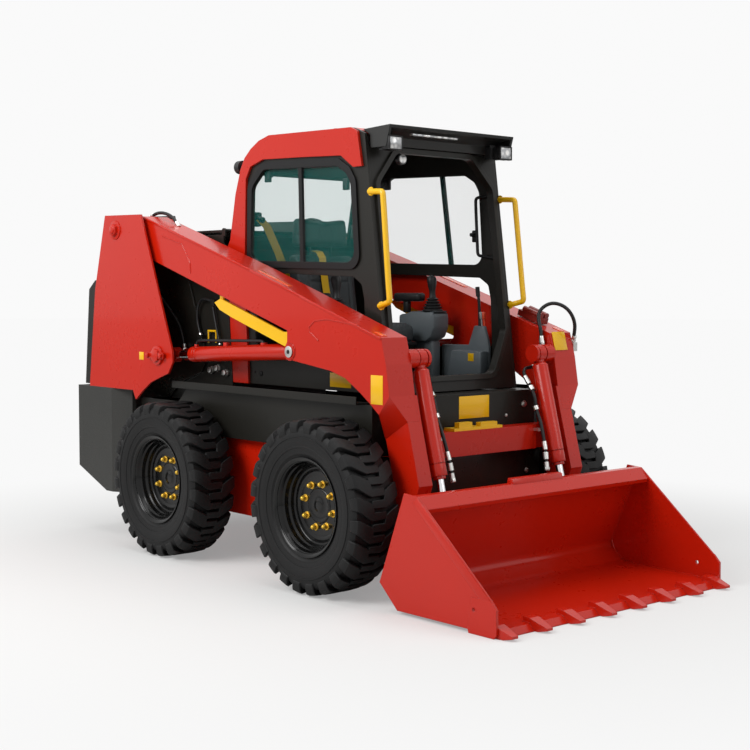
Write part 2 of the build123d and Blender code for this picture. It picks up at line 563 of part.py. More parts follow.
tower_hose = [(-1220, 466, 1365), (-1158, 466, 1322), (-1062, 466, 1250), (-978, 466, 1178), (-936, 466, 1098),
              (-926, 466, 1030)]
bay_hose = [(-655, 458, 1295), (-735, 458, 1319), (-800, 458, 1300), (-820, 458, 1230), (-804, 458, 1158),
            (-775, 458, 1110)]
drop_hose = [(-672, 458, 1288), (-652, 458, 1205), (-625, 458, 1130), (-601, 458, 1060)]
bay_hoses = both_sides(hose(tower_hose, 9) + hose(bay_hose, 7) + hose(drop_hose, 7))
save("bay_hoses", bay_hoses - towers - both_sides(bay))


# ---------------------------------------------------------------- hydraulic cylinders
def along(start, end, distance):
    """Point at a distance from start towards end, in the XZ plane."""
    span = hypot(end[0] - start[0], end[1] - start[1])
    return (start[0] + (end[0] - start[0]) * distance / span, start[1] + (end[1] - start[1]) * distance / span)


def make_barrel(start, end, y, radius, rod_r, length, eye_r, eye_half, pin_r):
    """Cylinder barrel with an eye on its hinge pin and a bore for the rod."""
    at = lambda d: (along(start, end, d)[0], y, along(start, end, d)[1])
    barrel = bar_between(at(eye_r + 8), at(length), radius)
    barrel += bar_between(at(eye_r - 8), at(eye_r + 12), eye_half)
    barrel += bar_between(at(length), at(length + 14), radius - 9)
    barrel -= bar_between(at(eye_r + 18), at(length + 20), rod_r + RUN_GAP)
    barrel += cross_pin(start, eye_r, y - eye_half, y + eye_half)
    barrel -= cross_pin(start, pin_r + RUN_GAP, y - eye_half - 1, y + eye_half + 1)
    return barrel


def make_rod(start, end, y, rod_r, inner, eye_r, eye_half, pin_r):
    """Rod from inside the barrel to the eye on its far pin."""
    at = lambda d: (along(start, end, d)[0], y, along(start, end, d)[1])
    span = hypot(end[0] - start[0], end[1] - start[1])
    rod = bar_between(at(inner), at(span - 5), rod_r)
    rod += cross_pin(end, eye_r, y - eye_half, y + eye_half)
    rod -= cross_pin(end, pin_r, y - eye_half - 1, y + eye_half + 1)
    return rod


lift_barrel = make_barrel(LIFT_TOP_PIN, LIFT_BASE_PIN, LIFT_CYL_Y, 39, 22, 920, 44, 22, 25)
save("lift_barrels", both_sides(lift_barrel))
lift_rod = make_rod(LIFT_TOP_PIN, LIFT_BASE_PIN, LIFT_CYL_Y, 22, 95, 40, 22, 25)
save("lift_rods", both_sides(lift_rod))
tilt_barrel = make_barrel(TILT_TOP_PIN, TILT_ROD_PIN, TILT_CYL_Y, 37.5, 17.5, 534, 42, 22, 22)
save("tilt_barrels", both_sides(tilt_barrel))
tilt_rod = make_rod(TILT_TOP_PIN, TILT_ROD_PIN, TILT_CYL_Y, 17.5, 150, 25, 22, 15)
save("tilt_rods", both_sides(tilt_rod))

# ---------------------------------------------------------------- bucket
back_low = (1015.0, 128.0)
back_high = (1138.0, 420.0)
ear_outline = [back_low, back_high, (1030, 412), (990, 395), (880, 190), (880, 125), (910, 112), (990, 112)]
coupler = side_plate(ear_outline, 350, 362)
coupler += side_plate(ear_outline, 428, 454)
coupler += side_plate(ear_outline, 547, 559)
backing = [back_low, back_high, (1123, 426), (1000, 134)]
coupler += side_plate(backing, 0, 350)
coupler += side_plate([back_low, (1070, 258.6), (1055, 264.8), (1000, 134)], 454, 547)
coupler += cross_pin(BUCKET_PIVOT, 24, 428, 565)
save("bucket_coupler", both_sides(coupler))

SIDE_IN = BUCKET_HALF - 12
SIDE_OUT = BUCKET_HALF - 4
shell_outline = [(1176, 513), (1202, 510), (1250, 461), (1240, 442), (1196, 492), (1176, 495),
                 (1147, 415), (1027, 129), (1031, 108), (1046, 92), (1097, 49), (1158, 39),
                 (1600, 30), (1600, 16), (1158, 27), (1090, 37), (1036, 84), (1018, 105),
                 back_low, back_high, (1160, 505)]
shell = side_plate(shell_outline, -SIDE_IN, SIDE_IN)
shell += side_plate([(1163, 506), (1170, 535), (1198, 533), (1205, 508), (1176, 512)], -165, 165)
save("bucket_shell", shell)
side_outline = [(1120, 516), (1202, 510), (1626, 148), (1658, 114), (1659, 15), (1645, 0),
                (1506, 0), (1500, 14), (1080, 14), (968, 118)]
CUTTER_HOLE = (1535.0, 98.0)
CUTTER_HOLE_R = 8.75
bucket_side = side_plate(side_outline, SIDE_IN, SIDE_OUT)
bucket_side += side_plate([(1522, 146), (1626, 148), (1658, 114), (1659, 15), (1645, 0), (1506, 0), (1500, 20)],
                          SIDE_OUT, BUCKET_HALF)
bucket_side -= cross_pin(CUTTER_HOLE, CUTTER_HOLE_R, SIDE_IN - 1, BUCKET_HALF + 1)
save("bucket_sides", both_sides(bucket_side))

edge_outline = [(1600, 30), (1640, 28), (1665, 4), (1665, 0), (1560, 0), (1560, 14), (1600, 14)]
edge = side_plate(edge_outline, -SIDE_IN, SIDE_IN)
tooth_side = [(1602, 30), (1602, 52), (1640, 50), (1725, 20), (1725, 10), (1680, 0), (1650, 2)]
tooth_plan = [(1585, -26), (1660, -26), (1725, -16), (1725, 16), (1660, 26), (1585, 26)]
for k in range(TEETH):
    tooth_y = (k - (TEETH - 1) / 2) * TOOTH_PITCH
    tooth = side_plate(tooth_side, tooth_y - 40, tooth_y + 40)
    tooth &= Pos(0, tooth_y, 0) * plan_plate(tooth_plan, 0, 60)
    edge += tooth
save("cutting_edge", edge)
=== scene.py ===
from math import cos, pi, radians, sin

import bmesh
import bpy
from mathutils import Matrix, Vector


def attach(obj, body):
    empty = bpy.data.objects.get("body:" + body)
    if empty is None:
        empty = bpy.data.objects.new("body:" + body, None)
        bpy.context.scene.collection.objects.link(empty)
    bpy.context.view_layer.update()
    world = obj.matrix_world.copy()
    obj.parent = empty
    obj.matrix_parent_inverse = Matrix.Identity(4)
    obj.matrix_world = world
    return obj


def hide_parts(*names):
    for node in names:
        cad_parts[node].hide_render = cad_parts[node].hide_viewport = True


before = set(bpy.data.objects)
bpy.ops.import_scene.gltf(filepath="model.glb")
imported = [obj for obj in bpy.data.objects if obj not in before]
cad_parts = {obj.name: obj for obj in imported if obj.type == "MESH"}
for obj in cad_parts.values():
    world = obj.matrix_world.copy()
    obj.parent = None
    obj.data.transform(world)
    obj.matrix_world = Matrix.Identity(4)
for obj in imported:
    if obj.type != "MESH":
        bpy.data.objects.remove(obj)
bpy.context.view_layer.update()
scene = bpy.context.scene

# ---------------------------------------------------------------- camera, floor and light
# A long lens at eye height in front of the machine's right corner, over a plain
# pale floor, with three large soft lamps and an even white surround.
camera_data = bpy.data.cameras.new("camera")
camera_data.sensor_fit = "HORIZONTAL"
camera_data.sensor_width = 36.0
camera_data.lens = 66.74
camera_data.clip_end = 200.0
camera = bpy.data.objects.new("camera", camera_data)
camera.location = (5.3615, -4.63293, 1.36273)
camera.rotation_mode = "XYZ"
camera.rotation_euler = (radians(90 - 3.504), radians(-0.075), radians(48.670))
scene.collection.objects.link(camera)
scene.camera = camera
scene.view_settings.view_transform = "Standard"


class Value:
    """A shader socket that adds, multiplies and compares like a number."""

    def __init__(self, finish, socket):
        self.finish = finish
        self.socket = socket

    def _math(self, operation, *values):
        return self.finish.node("ShaderNodeMath", {"operation": operation}, dict(enumerate(values)))

    def __add__(self, other):
        return self._math("ADD", self, other)

    def __mul__(self, other):
        return self._math("MULTIPLY", self, other)

    def __rsub__(self, other):
        return self._math("SUBTRACT", other, self)

    def __gt__(self, other):
        return self._math("GREATER_THAN", self, other)

    def __lt__(self, other):
        return self._math("LESS_THAN", self, other)

    def __abs__(self):
        return self._math("ABSOLUTE", self)

    __radd__ = __add__
    __rmul__ = __mul__


class Finish:
    """One material while it is being made up from nodes."""

    def __init__(self, name):
        self.material = bpy.data.materials.new(name)
        self.material.use_nodes = True
        self.tree = self.material.node_tree
        self.tree.nodes.clear()
        self.place = self.node("ShaderNodeTexCoord", out="Object")

    def node(self, kind, settings=None, inputs=None, out=0):
        """Adds a node: its settings first, then values or links for its sockets."""
        made = self.tree.nodes.new(kind)
        for key, value in (settings or {}).items():
            if key == "stops":
                while len(made.color_ramp.elements) < len(value):
                    made.color_ramp.elements.new(0.5)
                for stop, (position, colour) in zip(made.color_ramp.elements, value):
                    stop.position = position
                    stop.color = colour
            else:
                setattr(made, key, value)
        for key, value in (inputs or {}).items():
            if isinstance(value, Value):
                self.tree.links.new(value.socket, made.inputs[key])
            elif value is not None:
                made.inputs[key].default_value = value
        return Value(self, made.outputs[out])

    def axis(self, name):
        """One coordinate of the piece, X, Y or Z, in metres."""
        return self.node("ShaderNodeSeparateXYZ", inputs={0: self.place}, out=name)

    def noise(self, scale, detail=2.0, stretch=None):
        """Cloudy noise over the piece; stretch makes it finer along an axis."""
        where = self.place
        if stretch:
            where = self.node("ShaderNodeMapping", inputs={"Vector": where, "Scale": stretch})
        return self.node("ShaderNodeTexNoise", inputs={"Vector": where, "Scale": scale, "Detail": detail})

    def ramp(self, value, low, high, start=0.0, end=1.0):
        """The value mapped smoothly from low..high to start..end."""
        return self.node("ShaderNodeMapRange", {"interpolation_type": "SMOOTHSTEP"},
                         {"Value": value, "From Min": low, "From Max": high, "To Min": start, "To Max": end})

    def blend(self, first, second, share):
        """Colour that runs from the first to the second."""
        made = self.tree.nodes.new("ShaderNodeMix")
        made.data_type = "RGBA"
        for socket, value in zip((made.inputs[6], made.inputs[7], made.inputs[0]), (first, second, share)):
            if isinstance(value, Value):
                self.tree.links.new(value.socket, socket)
            else:
                socket.default_value = value if isinstance(value, float) else (*value, 1.0)
        return Value(self, made.outputs[2])

    def bump(self, height, distance, soft_edge=0.0):
        """Relief from a height, over edges eased by a small radius."""
        under = None
        if soft_edge:
            under = self.node("ShaderNodeBevel", {"samples": 4}, {"Radius": soft_edge})
        return self.node("ShaderNodeBump", inputs={"Distance": distance, "Height": height, "Normal": under})

    def surface(self, **sockets):
        """Ends the material in a Principled surface and gives it back."""
        shader = self.node("ShaderNodeBsdfPrincipled",
                           inputs={key.replace("_", " "): value for key, value in sockets.items()})
        self.node_out(shader)
        return self.material

    def node_out(self, shader):
        """Joins a shader to the material's end."""
        end = self.tree.nodes.new("ShaderNodeOutputMaterial")
        self.tree.links.new(shader.socket, end.inputs["Surface"])


def studio_lamp(name, place, target, size, power):
    """Large soft lamp that faces its target; its size is in metres and its power in watts."""
    data = bpy.data.lights.new(name, "AREA")
    data.shape = "RECTANGLE"
    data.size, data.size_y = size
    data.energy = power
    lamp = bpy.data.objects.new(name, data)
    lamp.location = place
    lamp.rotation_euler = (Vector(target) - Vector(place)).to_track_quat("-Z", "Y").to_euler()
    scene.collection.objects.link(lamp)


studio_lamp("key_lamp", (-0.8, -5.6, 4.6), (0, 0, 0.8), (4.5, 3.0), 330)
studio_lamp("side_lamp", (6.5, 1.5, 4.0), (0.3, 0, 0.8), (3.5, 3.5), 80)
studio_lamp("top_lamp", (0, 0.5, 6.5), (0, 0, 0), (6.0, 6.0), 230)

# strength of the surround on the machine, and as the camera, glass and gloss see it
AMBIENT, BACKDROP = 0.36, 0.955
world = bpy.data.worlds.new("surround")
scene.world = world
world.use_nodes = True
world_nodes = world.node_tree
world_nodes.nodes.clear()
rays = world_nodes.nodes.new("ShaderNodeLightPath")
seen = rays.outputs["Is Camera Ray"]
for ray in ("Is Transmission Ray", "Is Glossy Ray"):
    either = world_nodes.nodes.new("ShaderNodeMath")
    either.operation = "MAXIMUM"
    world_nodes.links.new(seen, either.inputs[0])
    world_nodes.links.new(rays.outputs[ray], either.inputs[1])
    seen = either.outputs[0]
level = world_nodes.nodes.new("ShaderNodeMapRange")
level.inputs["To Min"].default_value = AMBIENT
level.inputs["To Max"].default_value = BACKDROP
world_nodes.links.new(seen, level.inputs["Value"])
surround = world_nodes.nodes.new("ShaderNodeBackground")
surround.inputs["Color"].default_value = (1, 1, 1, 1)
world_nodes.links.new(level.outputs[0], surround.inputs["Strength"])
world_end = world_nodes.nodes.new("ShaderNodeOutputWorld")
world_nodes.links.new(surround.outputs[0], world_end.inputs["Surface"])


def as_mesh(name, shape):
    """Mesh with the shape of a bmesh, which is then freed."""
    mesh = bpy.data.meshes.new(name)
    shape.to_mesh(mesh)
    shape.free()
    return mesh


FLOOR_GLOW = 0.945
floor_shape = bmesh.new()
bmesh.ops.create_circle(floor_shape, cap_ends=True, radius=60, segments=96)
floor_mesh = as_mesh("floor", floor_shape)
floor = bpy.data.objects.new("floor", floor_mesh)
floor.location = (0, 0, -0.0008)
scene.collection.objects.link(floor)
floor_paint = Finish("floor_paint")
far = floor_paint.node("ShaderNodeVectorMath", {"operation": "LENGTH"}, {0: floor_paint.place}, out="Value")
lit = floor_paint.node("ShaderNodeBsdfDiffuse", inputs={"Color": (0.70, 0.70, 0.69, 1)})
pale = floor_paint.node("ShaderNodeEmission", inputs={"Color": (1, 1, 1, 1), "Strength": FLOOR_GLOW})
view_ray = floor_paint.node("ShaderNodeLightPath", out="Is Camera Ray")
# plain white from 3.8 m out, and more and more of the shadow nearer to the machine
share = floor_paint.ramp(far, 1.2, 3.8, 0.30, 1.0) * view_ray
floor_paint.node_out(floor_paint.node("ShaderNodeMixShader", inputs={0: share, 1: lit, 2: pale}))
floor_mesh.materials.append(floor_paint.material)


# ---------------------------------------------------------------- main frame
# The lower frame that carries both axles is a welded box of plate, sprayed glossy
# red like the arms, towers, cylinders and bucket; its nose is dark.
def machine_paint(name, colour, drift_to, rough, coat, shine=0.3, soft_edge=0.004, second=None, where=None):
    """Sprayed paint: slow drift of tone, orange peel, a clear coat and eased edges."""
    paint = Finish(name)
    tone = paint.noise(2.3, 3.0)
    peel = paint.noise(240.0, 1.0)
    dust = paint.noise(26.0, 3.0)
    base = paint.blend(colour, drift_to, tone)
    if second:
        base = paint.blend(base, second, where(paint))
    return paint.surface(
        Base_Color=base, Roughness=rough + 0.03 * dust + 0.03 * tone,
        Specular_IOR_Level=shine, Coat_Weight=coat, Coat_Roughness=0.05,
        Normal=paint.bump(peel, 0.00006, soft_edge))


RED = (0.530, 0.013, 0.002)
RED_DEEP = (0.475, 0.010, 0.0015)
DARK = (0.0135, 0.0125, 0.0100)
NOSE = 0.62  # the frame is dark in front of this


def red_machine_paint(name, second=None, where=None):
    """The machine's red, with a second colour where its mask is 1."""
    return machine_paint(name, RED, RED_DEEP, rough=0.25, coat=0.16, second=second, where=where)


def dress(finish, *nodes):
    """Gives CAD pieces their finish."""
    for name in nodes:
        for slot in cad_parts[name].material_slots:
            slot.material = finish


dress(red_machine_paint("frame_paint", DARK, lambda paint: paint.axis("X") > NOSE), "main_frame")


# ---------------------------------------------------------------- upper frame, ledges and front plate
# Dark pressed plate over the wheels carries the cab, with side ledges and a plain
# bulkhead at the front; zinc plated bolts hold it, and its yellow plates are blank.
dark_paint = machine_paint("dark_paint", DARK, (0.0105, 0.0098, 0.0080), rough=0.36, coat=0.08, shine=0.22)
dress(dark_paint, "upper_frame", "side_ledges", "front_plate")


def mount(made, body, stands_for=()):
    """Fixes a finished piece to a body of the machine, in place of the nodes it stands for."""
    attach(made, body)
    if stands_for:
        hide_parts(*stands_for)
    return made


def piece(name, shape, finish, body, sharp=35, stands_for=()):
    """Makes a bmesh into a piece that rides on a body of the machine."""
    mesh = as_mesh(name, shape)
    mesh.materials.append(finish)
    mesh.shade_smooth()
    mesh.set_sharp_from_angle(angle=radians(sharp))
    made = bpy.data.objects.new(name, mesh)
    scene.collection.objects.link(made)
    return mount(made, body, stands_for)


def ease_edges(shape, edges, ease, segments=2):
    """Rounds edges by a small radius; an edge named twice counts once."""
    bmesh.ops.bevel(shape, geom=list(dict.fromkeys(edges)), offset=ease, segments=segments, profile=0.5,
                    affect="EDGES", material=-1)


def add_block(shape, low, high, ease=0.0, turn=None, segments=2):
    """Block between two corners, its edges eased; turned about its middle."""
    low, high = Vector(low), Vector(high)
    place = Matrix.Translation((low + high) / 2) @ (turn or Matrix())
    made = bmesh.ops.create_cube(shape, size=1, matrix=place @ Matrix.Diagonal((*(high - low), 1)))["verts"]
    if ease:
        ease_edges(shape, (edge for vert in made for edge in vert.link_edges), ease, segments)


def add_bar(shape, start, end, radius, end_radius=None, sides=24, ease=0.0):
    """Round bar from start to end; six sides make a nut or a bolt head."""
    start, end = Vector(start), Vector(end)
    run = end - start
    place = Matrix.Translation((start + end) / 2) @ run.to_track_quat("Z", "Y").to_matrix().to_4x4()
    made = bmesh.ops.create_cone(shape, cap_ends=True, segments=sides, radius1=radius,
                                 radius2=radius if end_radius is None else end_radius,
                                 depth=run.length, matrix=place)["verts"]
    if ease:
        ends = [face for vert in made for face in vert.link_faces if len(face.verts) > 4]
        ease_edges(shape, (edge for face in ends for edge in face.edges), ease)


def add_bolt(shape, place, axis, radius):
    """Flanged hexagon bolt head standing on a surface."""
    place = Vector(place)
    add_bar(shape, place - axis * 0.001, place + axis * 0.0025, radius * 1.35, sides=20)
    add_bar(shape, place + axis * 0.002, place + axis * (0.0025 + radius * 0.75), radius, sides=6,
            ease=radius * 0.12)


zinc = Finish("zinc_plate")
zinc_plate = zinc.surface(Base_Color=(0.60, 0.60, 0.58, 1), Metallic=1.0,
                          Roughness=0.25 + 0.2 * zinc.noise(60.0, 3.0))
yellow_paint = machine_paint("yellow_paint", (0.87, 0.50, 0.004), (0.82, 0.45, 0.004), rough=0.30, coat=0.3,
                             soft_edge=0.002)
FRONT = Vector((1, 0, 0))
frame_bolts = bmesh.new()
for y, z, radius in ((0.354, 0.812, 0.012), (0.230, 0.764, 0.006), (-0.230, 0.764, 0.006), (0.391, 0.640, 0.009)):
    add_bolt(frame_bolts, (0.785, y, z), FRONT, radius)
add_bolt(frame_bolts, (0.760, 0.405, 0.482), FRONT, 0.010)
piece("frame_bolts", frame_bolts, zinc_plate, "chassis")
SIDES = (-1, 1)  # the machine's right, then its left
plates = bmesh.new()
add_block(plates, (0.7845, -0.088, 0.763), (0.7862, 0.112, 0.868), 0.0005)
for side in SIDES:
    add_block(plates, (0.255, side * 0.4265 - 0.0007, 0.902), (0.410, side * 0.4265 + 0.0007, 0.970), 0.0005)
add_block(plates, (0.425, 0.3310, 1.006), (0.465, 0.3322, 1.046), 0.0003)
piece("chassis_plates", plates, yellow_paint, "chassis")

# ---------------------------------------------------------------- axles and power pack
# Forged hubs are bolted to the frame under the same gloss black as the rims. The
# engine, its pump and tank are one block of raw casting, behind the bay's grilles.
rim_paint = machine_paint("rim_paint", (0.0018, 0.0018, 0.0018), (0.003, 0.003, 0.003), rough=0.17, coat=0.10,
                          shine=0.24, soft_edge=0.0015)
dress(rim_paint, "axle_hubs")
iron = Finish("engine_iron")
dress(iron.surface(Base_Color=iron.blend((0.05, 0.05, 0.052), (0.09, 0.085, 0.08), iron.noise(30.0, 4.0)),
                   Roughness=0.75, Metallic=0.4, Normal=iron.bump(iron.noise(120.0, 4.0), 0.002)), "engine_block")
dress(dark_paint, "engine_bay_sides")

# ---------------------------------------------------------------- wheels
# Pressed steel rims in gloss black held by eight gold nuts, in heavy cross-ply
# tyres: a smooth moulded wall with rings, and two rows of hooked lugs.
rubber = Finish("tyre_rubber")
scuff = rubber.noise(14.0, 5.0)
pores = rubber.noise(420.0, 2.0)
tyre_rubber = rubber.surface(
    Base_Color=rubber.blend((0.0030, 0.0030, 0.0032), (0.0080, 0.0080, 0.0082), scuff),
    Roughness=0.44 + 0.2 * scuff, Specular_IOR_Level=0.22,
    Normal=rubber.bump(pores + 0.6 * scuff, 0.0006))
AXLES = (("front", 0.545, 31.0), ("rear", -0.675, 22.5))  # name, X, angle of the first nut
AXLE_HEIGHT = 0.395
HALF_TRACK = 0.7115
NUTS, NUT_CIRCLE, NUT_FACE = 8, 0.1016, 0.7275
LUGS = 24
PITCH = 360 / LUGS
FOOT = 0.336  # no lug's wall goes nearer to the axle (m)
# across the tread (m), trailing and leading edge of the lug (degrees), radius (m)
LUG = [(-0.040, -1.9, 1.9, 0.3928), (-0.034, -2.5, 2.5, 0.3940), (0.028, -2.6, 2.7, 0.3948),
       (0.038, -7.9, 2.9, 0.3948), (0.062, -10.0, 1.0, 0.3945), (0.104, -13.0, -3.3, 0.3915),
       (0.1170, -13.4, -4.4, 0.3830), (0.1222, -13.2, -4.6, 0.3660), (0.1230, -12.8, -5.0, 0.3420)]


def tyre_lug():
    """One lug of the left row at the top of the tyre, its edges eased."""
    shape = bmesh.new()
    rows = []
    for across, trailing, leading, radius in LUG:
        angles = [radians(trailing + (leading - trailing) * k / 4) for k in range(5)]
        rows.append([shape.verts.new((radius * sin(a), across, radius * cos(a))) for a in angles])
    for near, far in zip(rows, rows[1:]):
        for k in range(4):
            shape.faces.new((near[k], near[k + 1], far[k + 1], far[k]))
    crown = list(shape.faces)
    outline = [edge for edge in shape.edges if edge.is_boundary]
    walls = bmesh.ops.extrude_edge_only(shape, edges=outline)["geom"]
    for vert in (v for v in walls if isinstance(v, bmesh.types.BMVert)):
        spoke = Vector((vert.co.x, 0, vert.co.z))
        depth = min(0.028, max(0.006, spoke.length - FOOT))
        vert.co -= spoke.normalized() * depth
        vert.co.y -= 0.004 if vert.co.y > 0.11 else 0
    bmesh.ops.recalc_face_normals(shape, faces=shape.faces)
    crown_edges = [e for e in shape.edges if sum(f in crown for f in e.link_faces) == 1]
    ease_edges(shape, crown_edges, 0.0025, 1)
    return as_mesh("tyre_lug", shape)


# distance from the middle, radius (m): one wall of the carcass from bead to crown
WALL = [(0.0940, 0.2100), (0.0975, 0.2180), (0.0985, 0.2290), (0.1030, 0.2360), (0.1075, 0.2410), (0.1080, 0.2470),
        (0.1085, 0.2500), (0.1130, 0.2640), (0.1130, 0.2665), (0.1150, 0.2672), (0.1165, 0.2735), (0.1160, 0.2750),
        (0.1185, 0.2860), (0.1200, 0.3000), (0.1206, 0.3140), (0.1228, 0.3150), (0.1228, 0.3200), (0.1200, 0.3212),
        (0.1190, 0.3360), (0.1150, 0.3520), (0.1060, 0.3640), (0.0800, 0.3690), (0.0400, 0.3710)]
# the rim's section: outward distance from the wheel's middle, radius (m)
RIM = [(0.1035, 0.2255), (0.1058, 0.2243), (0.1060, 0.2210), (0.1010, 0.2130), (0.0965, 0.2060), (0.0905, 0.2000),
       (0.0760, 0.1980), (0.0722, 0.1950), (0.0682, 0.1912), (0.0655, 0.1898), (0.0480, 0.1885), (0.0445, 0.1862),
       (0.0410, 0.1825), (0.0382, 0.1803), (0.0250, 0.1790), (0.0190, 0.1762), (0.0165, 0.1710), (0.0163, 0.1640),
       (0.0205, 0.1570), (0.0210, 0.1500), (0.0170, 0.1420), (0.0162, 0.1340), (0.0162, 0.0800), (0.0192, 0.0775),
       (0.0202, 0.0745), (0.0200, 0.0700), (0.0182, 0.0660), (0.0178, 0.0300), (0.0195, 0.0260), (0.0205, 0.0180),
       (0.0205, 0.0), (-0.0200, 0.0), (-0.0200, 0.0750), (0.0060, 0.0770), (0.0060, 0.1780), (-0.0200, 0.1830),
       (-0.0330, 0.1980), (-0.0960, 0.1990), (-0.1055, 0.2210), (-0.1055, 0.2250), (-0.0980, 0.2255),
       (-0.0970, 0.2060), (-0.0340, 0.2050), (-0.0200, 0.1900), (0.0380, 0.1900), (0.0460, 0.1975),
       (0.0660, 0.1975), (0.0740, 0.2055), (0.0972, 0.2060), (0.0980, 0.2255)]


def turned(section, axis, steps):
    """Closed ring turned about the Y or the Z axis, from places in its section."""
    shape = bmesh.new()
    ring = [shape.verts.new(place) for place in section]
    edges = [shape.edges.new(ends) for ends in zip(ring, ring[1:] + ring[:1])]
    bmesh.ops.spin(shape, geom=ring + edges, axis=axis, cent=(0, 0, 0), angle=2 * pi, steps=steps, use_merge=True)
    bmesh.ops.remove_doubles(shape, verts=shape.verts, dist=0.00005)
    bmesh.ops.recalc_face_normals(shape, faces=shape.faces)
    return shape


def wheel_ring(section):
    """Ring about the wheel's axle; its section is (distance out, radius)."""
    return turned([(0, y, radius) for y, radius in section], (0, 1, 0), 120)


def place_wheel_part(shape, x, outward):
    """Turns a left-hand part to its side and sets it on its axle."""
    if outward < 0:
        bmesh.ops.transform(shape, matrix=Matrix.Scale(-1, 4, (0, 1, 0)), verts=shape.verts)
        bmesh.ops.reverse_faces(shape, faces=shape.faces)
    bmesh.ops.translate(shape, vec=(x, outward * HALF_TRACK, AXLE_HEIGHT), verts=shape.verts)
    return shape


def tyre_shape():
    """The whole left tyre on its axle at the origin, its lugs pointing the way the wheel rolls."""
    shape = wheel_ring([(-y, r) for y, r in WALL] + WALL[::-1])
    lug = tyre_lug()
    other = lug.copy()
    other.transform(Matrix.Rotation(radians(PITCH / 2), 4, "Y") @ Matrix.Scale(-1, 4, (0, 1, 0)))
    other.flip_normals()
    step = Matrix.Rotation(radians(PITCH), 4, "Y")
    for _ in range(LUGS):
        shape.from_mesh(lug)
        shape.from_mesh(other)
        lug.transform(step)
        other.transform(step)
    return shape


gold = Finish("nut_gold")
nut_gold = gold.surface(Base_Color=gold.blend((0.80, 0.50, 0.05), (0.62, 0.38, 0.04), gold.noise(80.0, 3.0)),
                        Metallic=0.55, Roughness=0.32)
for where, x, phase in AXLES:
    for hand, outward in zip(("right", "left"), SIDES):
        body = f"wheel_{where}_{hand}"
        piece(f"tyre_{where}_{hand}_moulded", place_wheel_part(tyre_shape(), x, outward), tyre_rubber, body,
              30, [f"tyre_{where}_{hand}"])
        piece(f"rim_{where}_{hand}_pressed", place_wheel_part(wheel_ring(RIM), x, outward), rim_paint, body,
              40, [f"rim_{where}_{hand}"])
        nuts = bmesh.new()
        out = Vector((0, outward, 0))
        for k in range(NUTS):
            turn = radians(phase + 360 / NUTS * k)
            foot = Vector((x + NUT_CIRCLE * cos(turn), outward * NUT_FACE, AXLE_HEIGHT + NUT_CIRCLE * sin(turn)))
            add_bar(nuts, foot, foot + out * 0.005, 0.0185, 0.0165, 24, 0.001)
            add_bar(nuts, foot + out * 0.004, foot + out * 0.020, 0.0125, sides=6, ease=0.0015)
            bmesh.ops.create_uvsphere(nuts, u_segments=16, v_segments=10, radius=0.0105,
                                      matrix=Matrix.Translation(foot + out * 0.019))
        piece(f"wheel_nuts_{where}_{hand}", nuts, nut_gold, body)

# ---------------------------------------------------------------- rear bumper, towers, door and hood
# The counterweight is a thick casting in grey; towers are boxes of red plate, dark
# inside, with capped pins; the door and hood are dark pressings with louvres.
cast = Finish("cast_weight")
sand = cast.noise(160.0, 4.0)
dress(cast.surface(Base_Color=cast.blend((0.024, 0.024, 0.022), (0.032, 0.032, 0.029), cast.noise(5.0, 4.0)),
                   Roughness=0.5 + 0.15 * sand, Coat_Weight=0.08, Specular_IOR_Level=0.3,
                   Normal=cast.bump(sand, 0.0011, 0.006)), "rear_bumper")
INNER_WALL = 0.468  # the towers are dark inside this
dress(red_machine_paint("tower_paint", DARK, lambda paint: abs(paint.axis("Y")) < INNER_WALL), "towers")
dress(dark_paint, "rear_door", "hood")

red_paint = red_machine_paint("red_paint")
TOWER_FACE = 0.660
# the arms' pivot and the lower pin of the lift cylinders, as X and Z
ARM_PIVOT = (-1.305, 1.686)
LIFT_ROD_PIN = (-0.886, 1.017)
caps = bmesh.new()
for side in SIDES:
    out = Vector((0, side, 0))
    top = Vector((ARM_PIVOT[0], side * TOWER_FACE, ARM_PIVOT[1]))
    add_bar(caps, top, top + out * 0.005, 0.052, sides=48, ease=0.0015)
    add_bar(caps, top + out * 0.004, top + out * 0.022, 0.034, sides=6, ease=0.003)
    add_bar(caps, top + out * 0.018, top + out * 0.027, 0.021, sides=32, ease=0.002)
    low = Vector((LIFT_ROD_PIN[0], side * TOWER_FACE, LIFT_ROD_PIN[1]))
    add_bar(caps, low, low + out * 0.012, 0.050, sides=48, ease=0.002)
    add_bar(caps, low + out * 0.010, low + out * 0.026, 0.036, sides=8, ease=0.003)
    add_block(caps, low + Vector((-0.078, 0.010 * side, -0.017)), low + Vector((0.078, 0.022 * side, 0.017)), 0.003)
    for x in (-0.062, 0.062):
        add_bar(caps, low + Vector((x, 0.020 * side, 0)), low + Vector((x, 0.034 * side, 0)), 0.014, sides=6,
                ease=0.002)
piece("tower_pin_caps", caps, red_paint, "chassis")
tags = bmesh.new()
for side in SIDES:
    add_block(tags, (-1.070, side * 0.6605 - 0.0008, 0.988), (-1.026, side * 0.6605 + 0.0008, 1.030), 0.0005)
    for x in (-0.719, -0.650):
        add_bar(tags, (x, side * 0.452, 1.086), (x, side * 0.452, 1.146), 0.005, sides=16)
    add_bar(tags, (-0.722, side * 0.452, 1.146), (-0.647, side * 0.452, 1.146), 0.006, sides=16)
piece("tower_tags", tags, yellow_paint, "chassis")

# ---------------------------------------------------------------- cab
# A pressed steel cab: dark side, rear and front frames, red corner covers and roof,
# black rubber round clear panes, and a visor that carries two lamps.
dress(dark_paint, "cab_floor", "cab_sides", "cab_rear", "cab_front_frame")
dress(red_paint, "cab_covers")


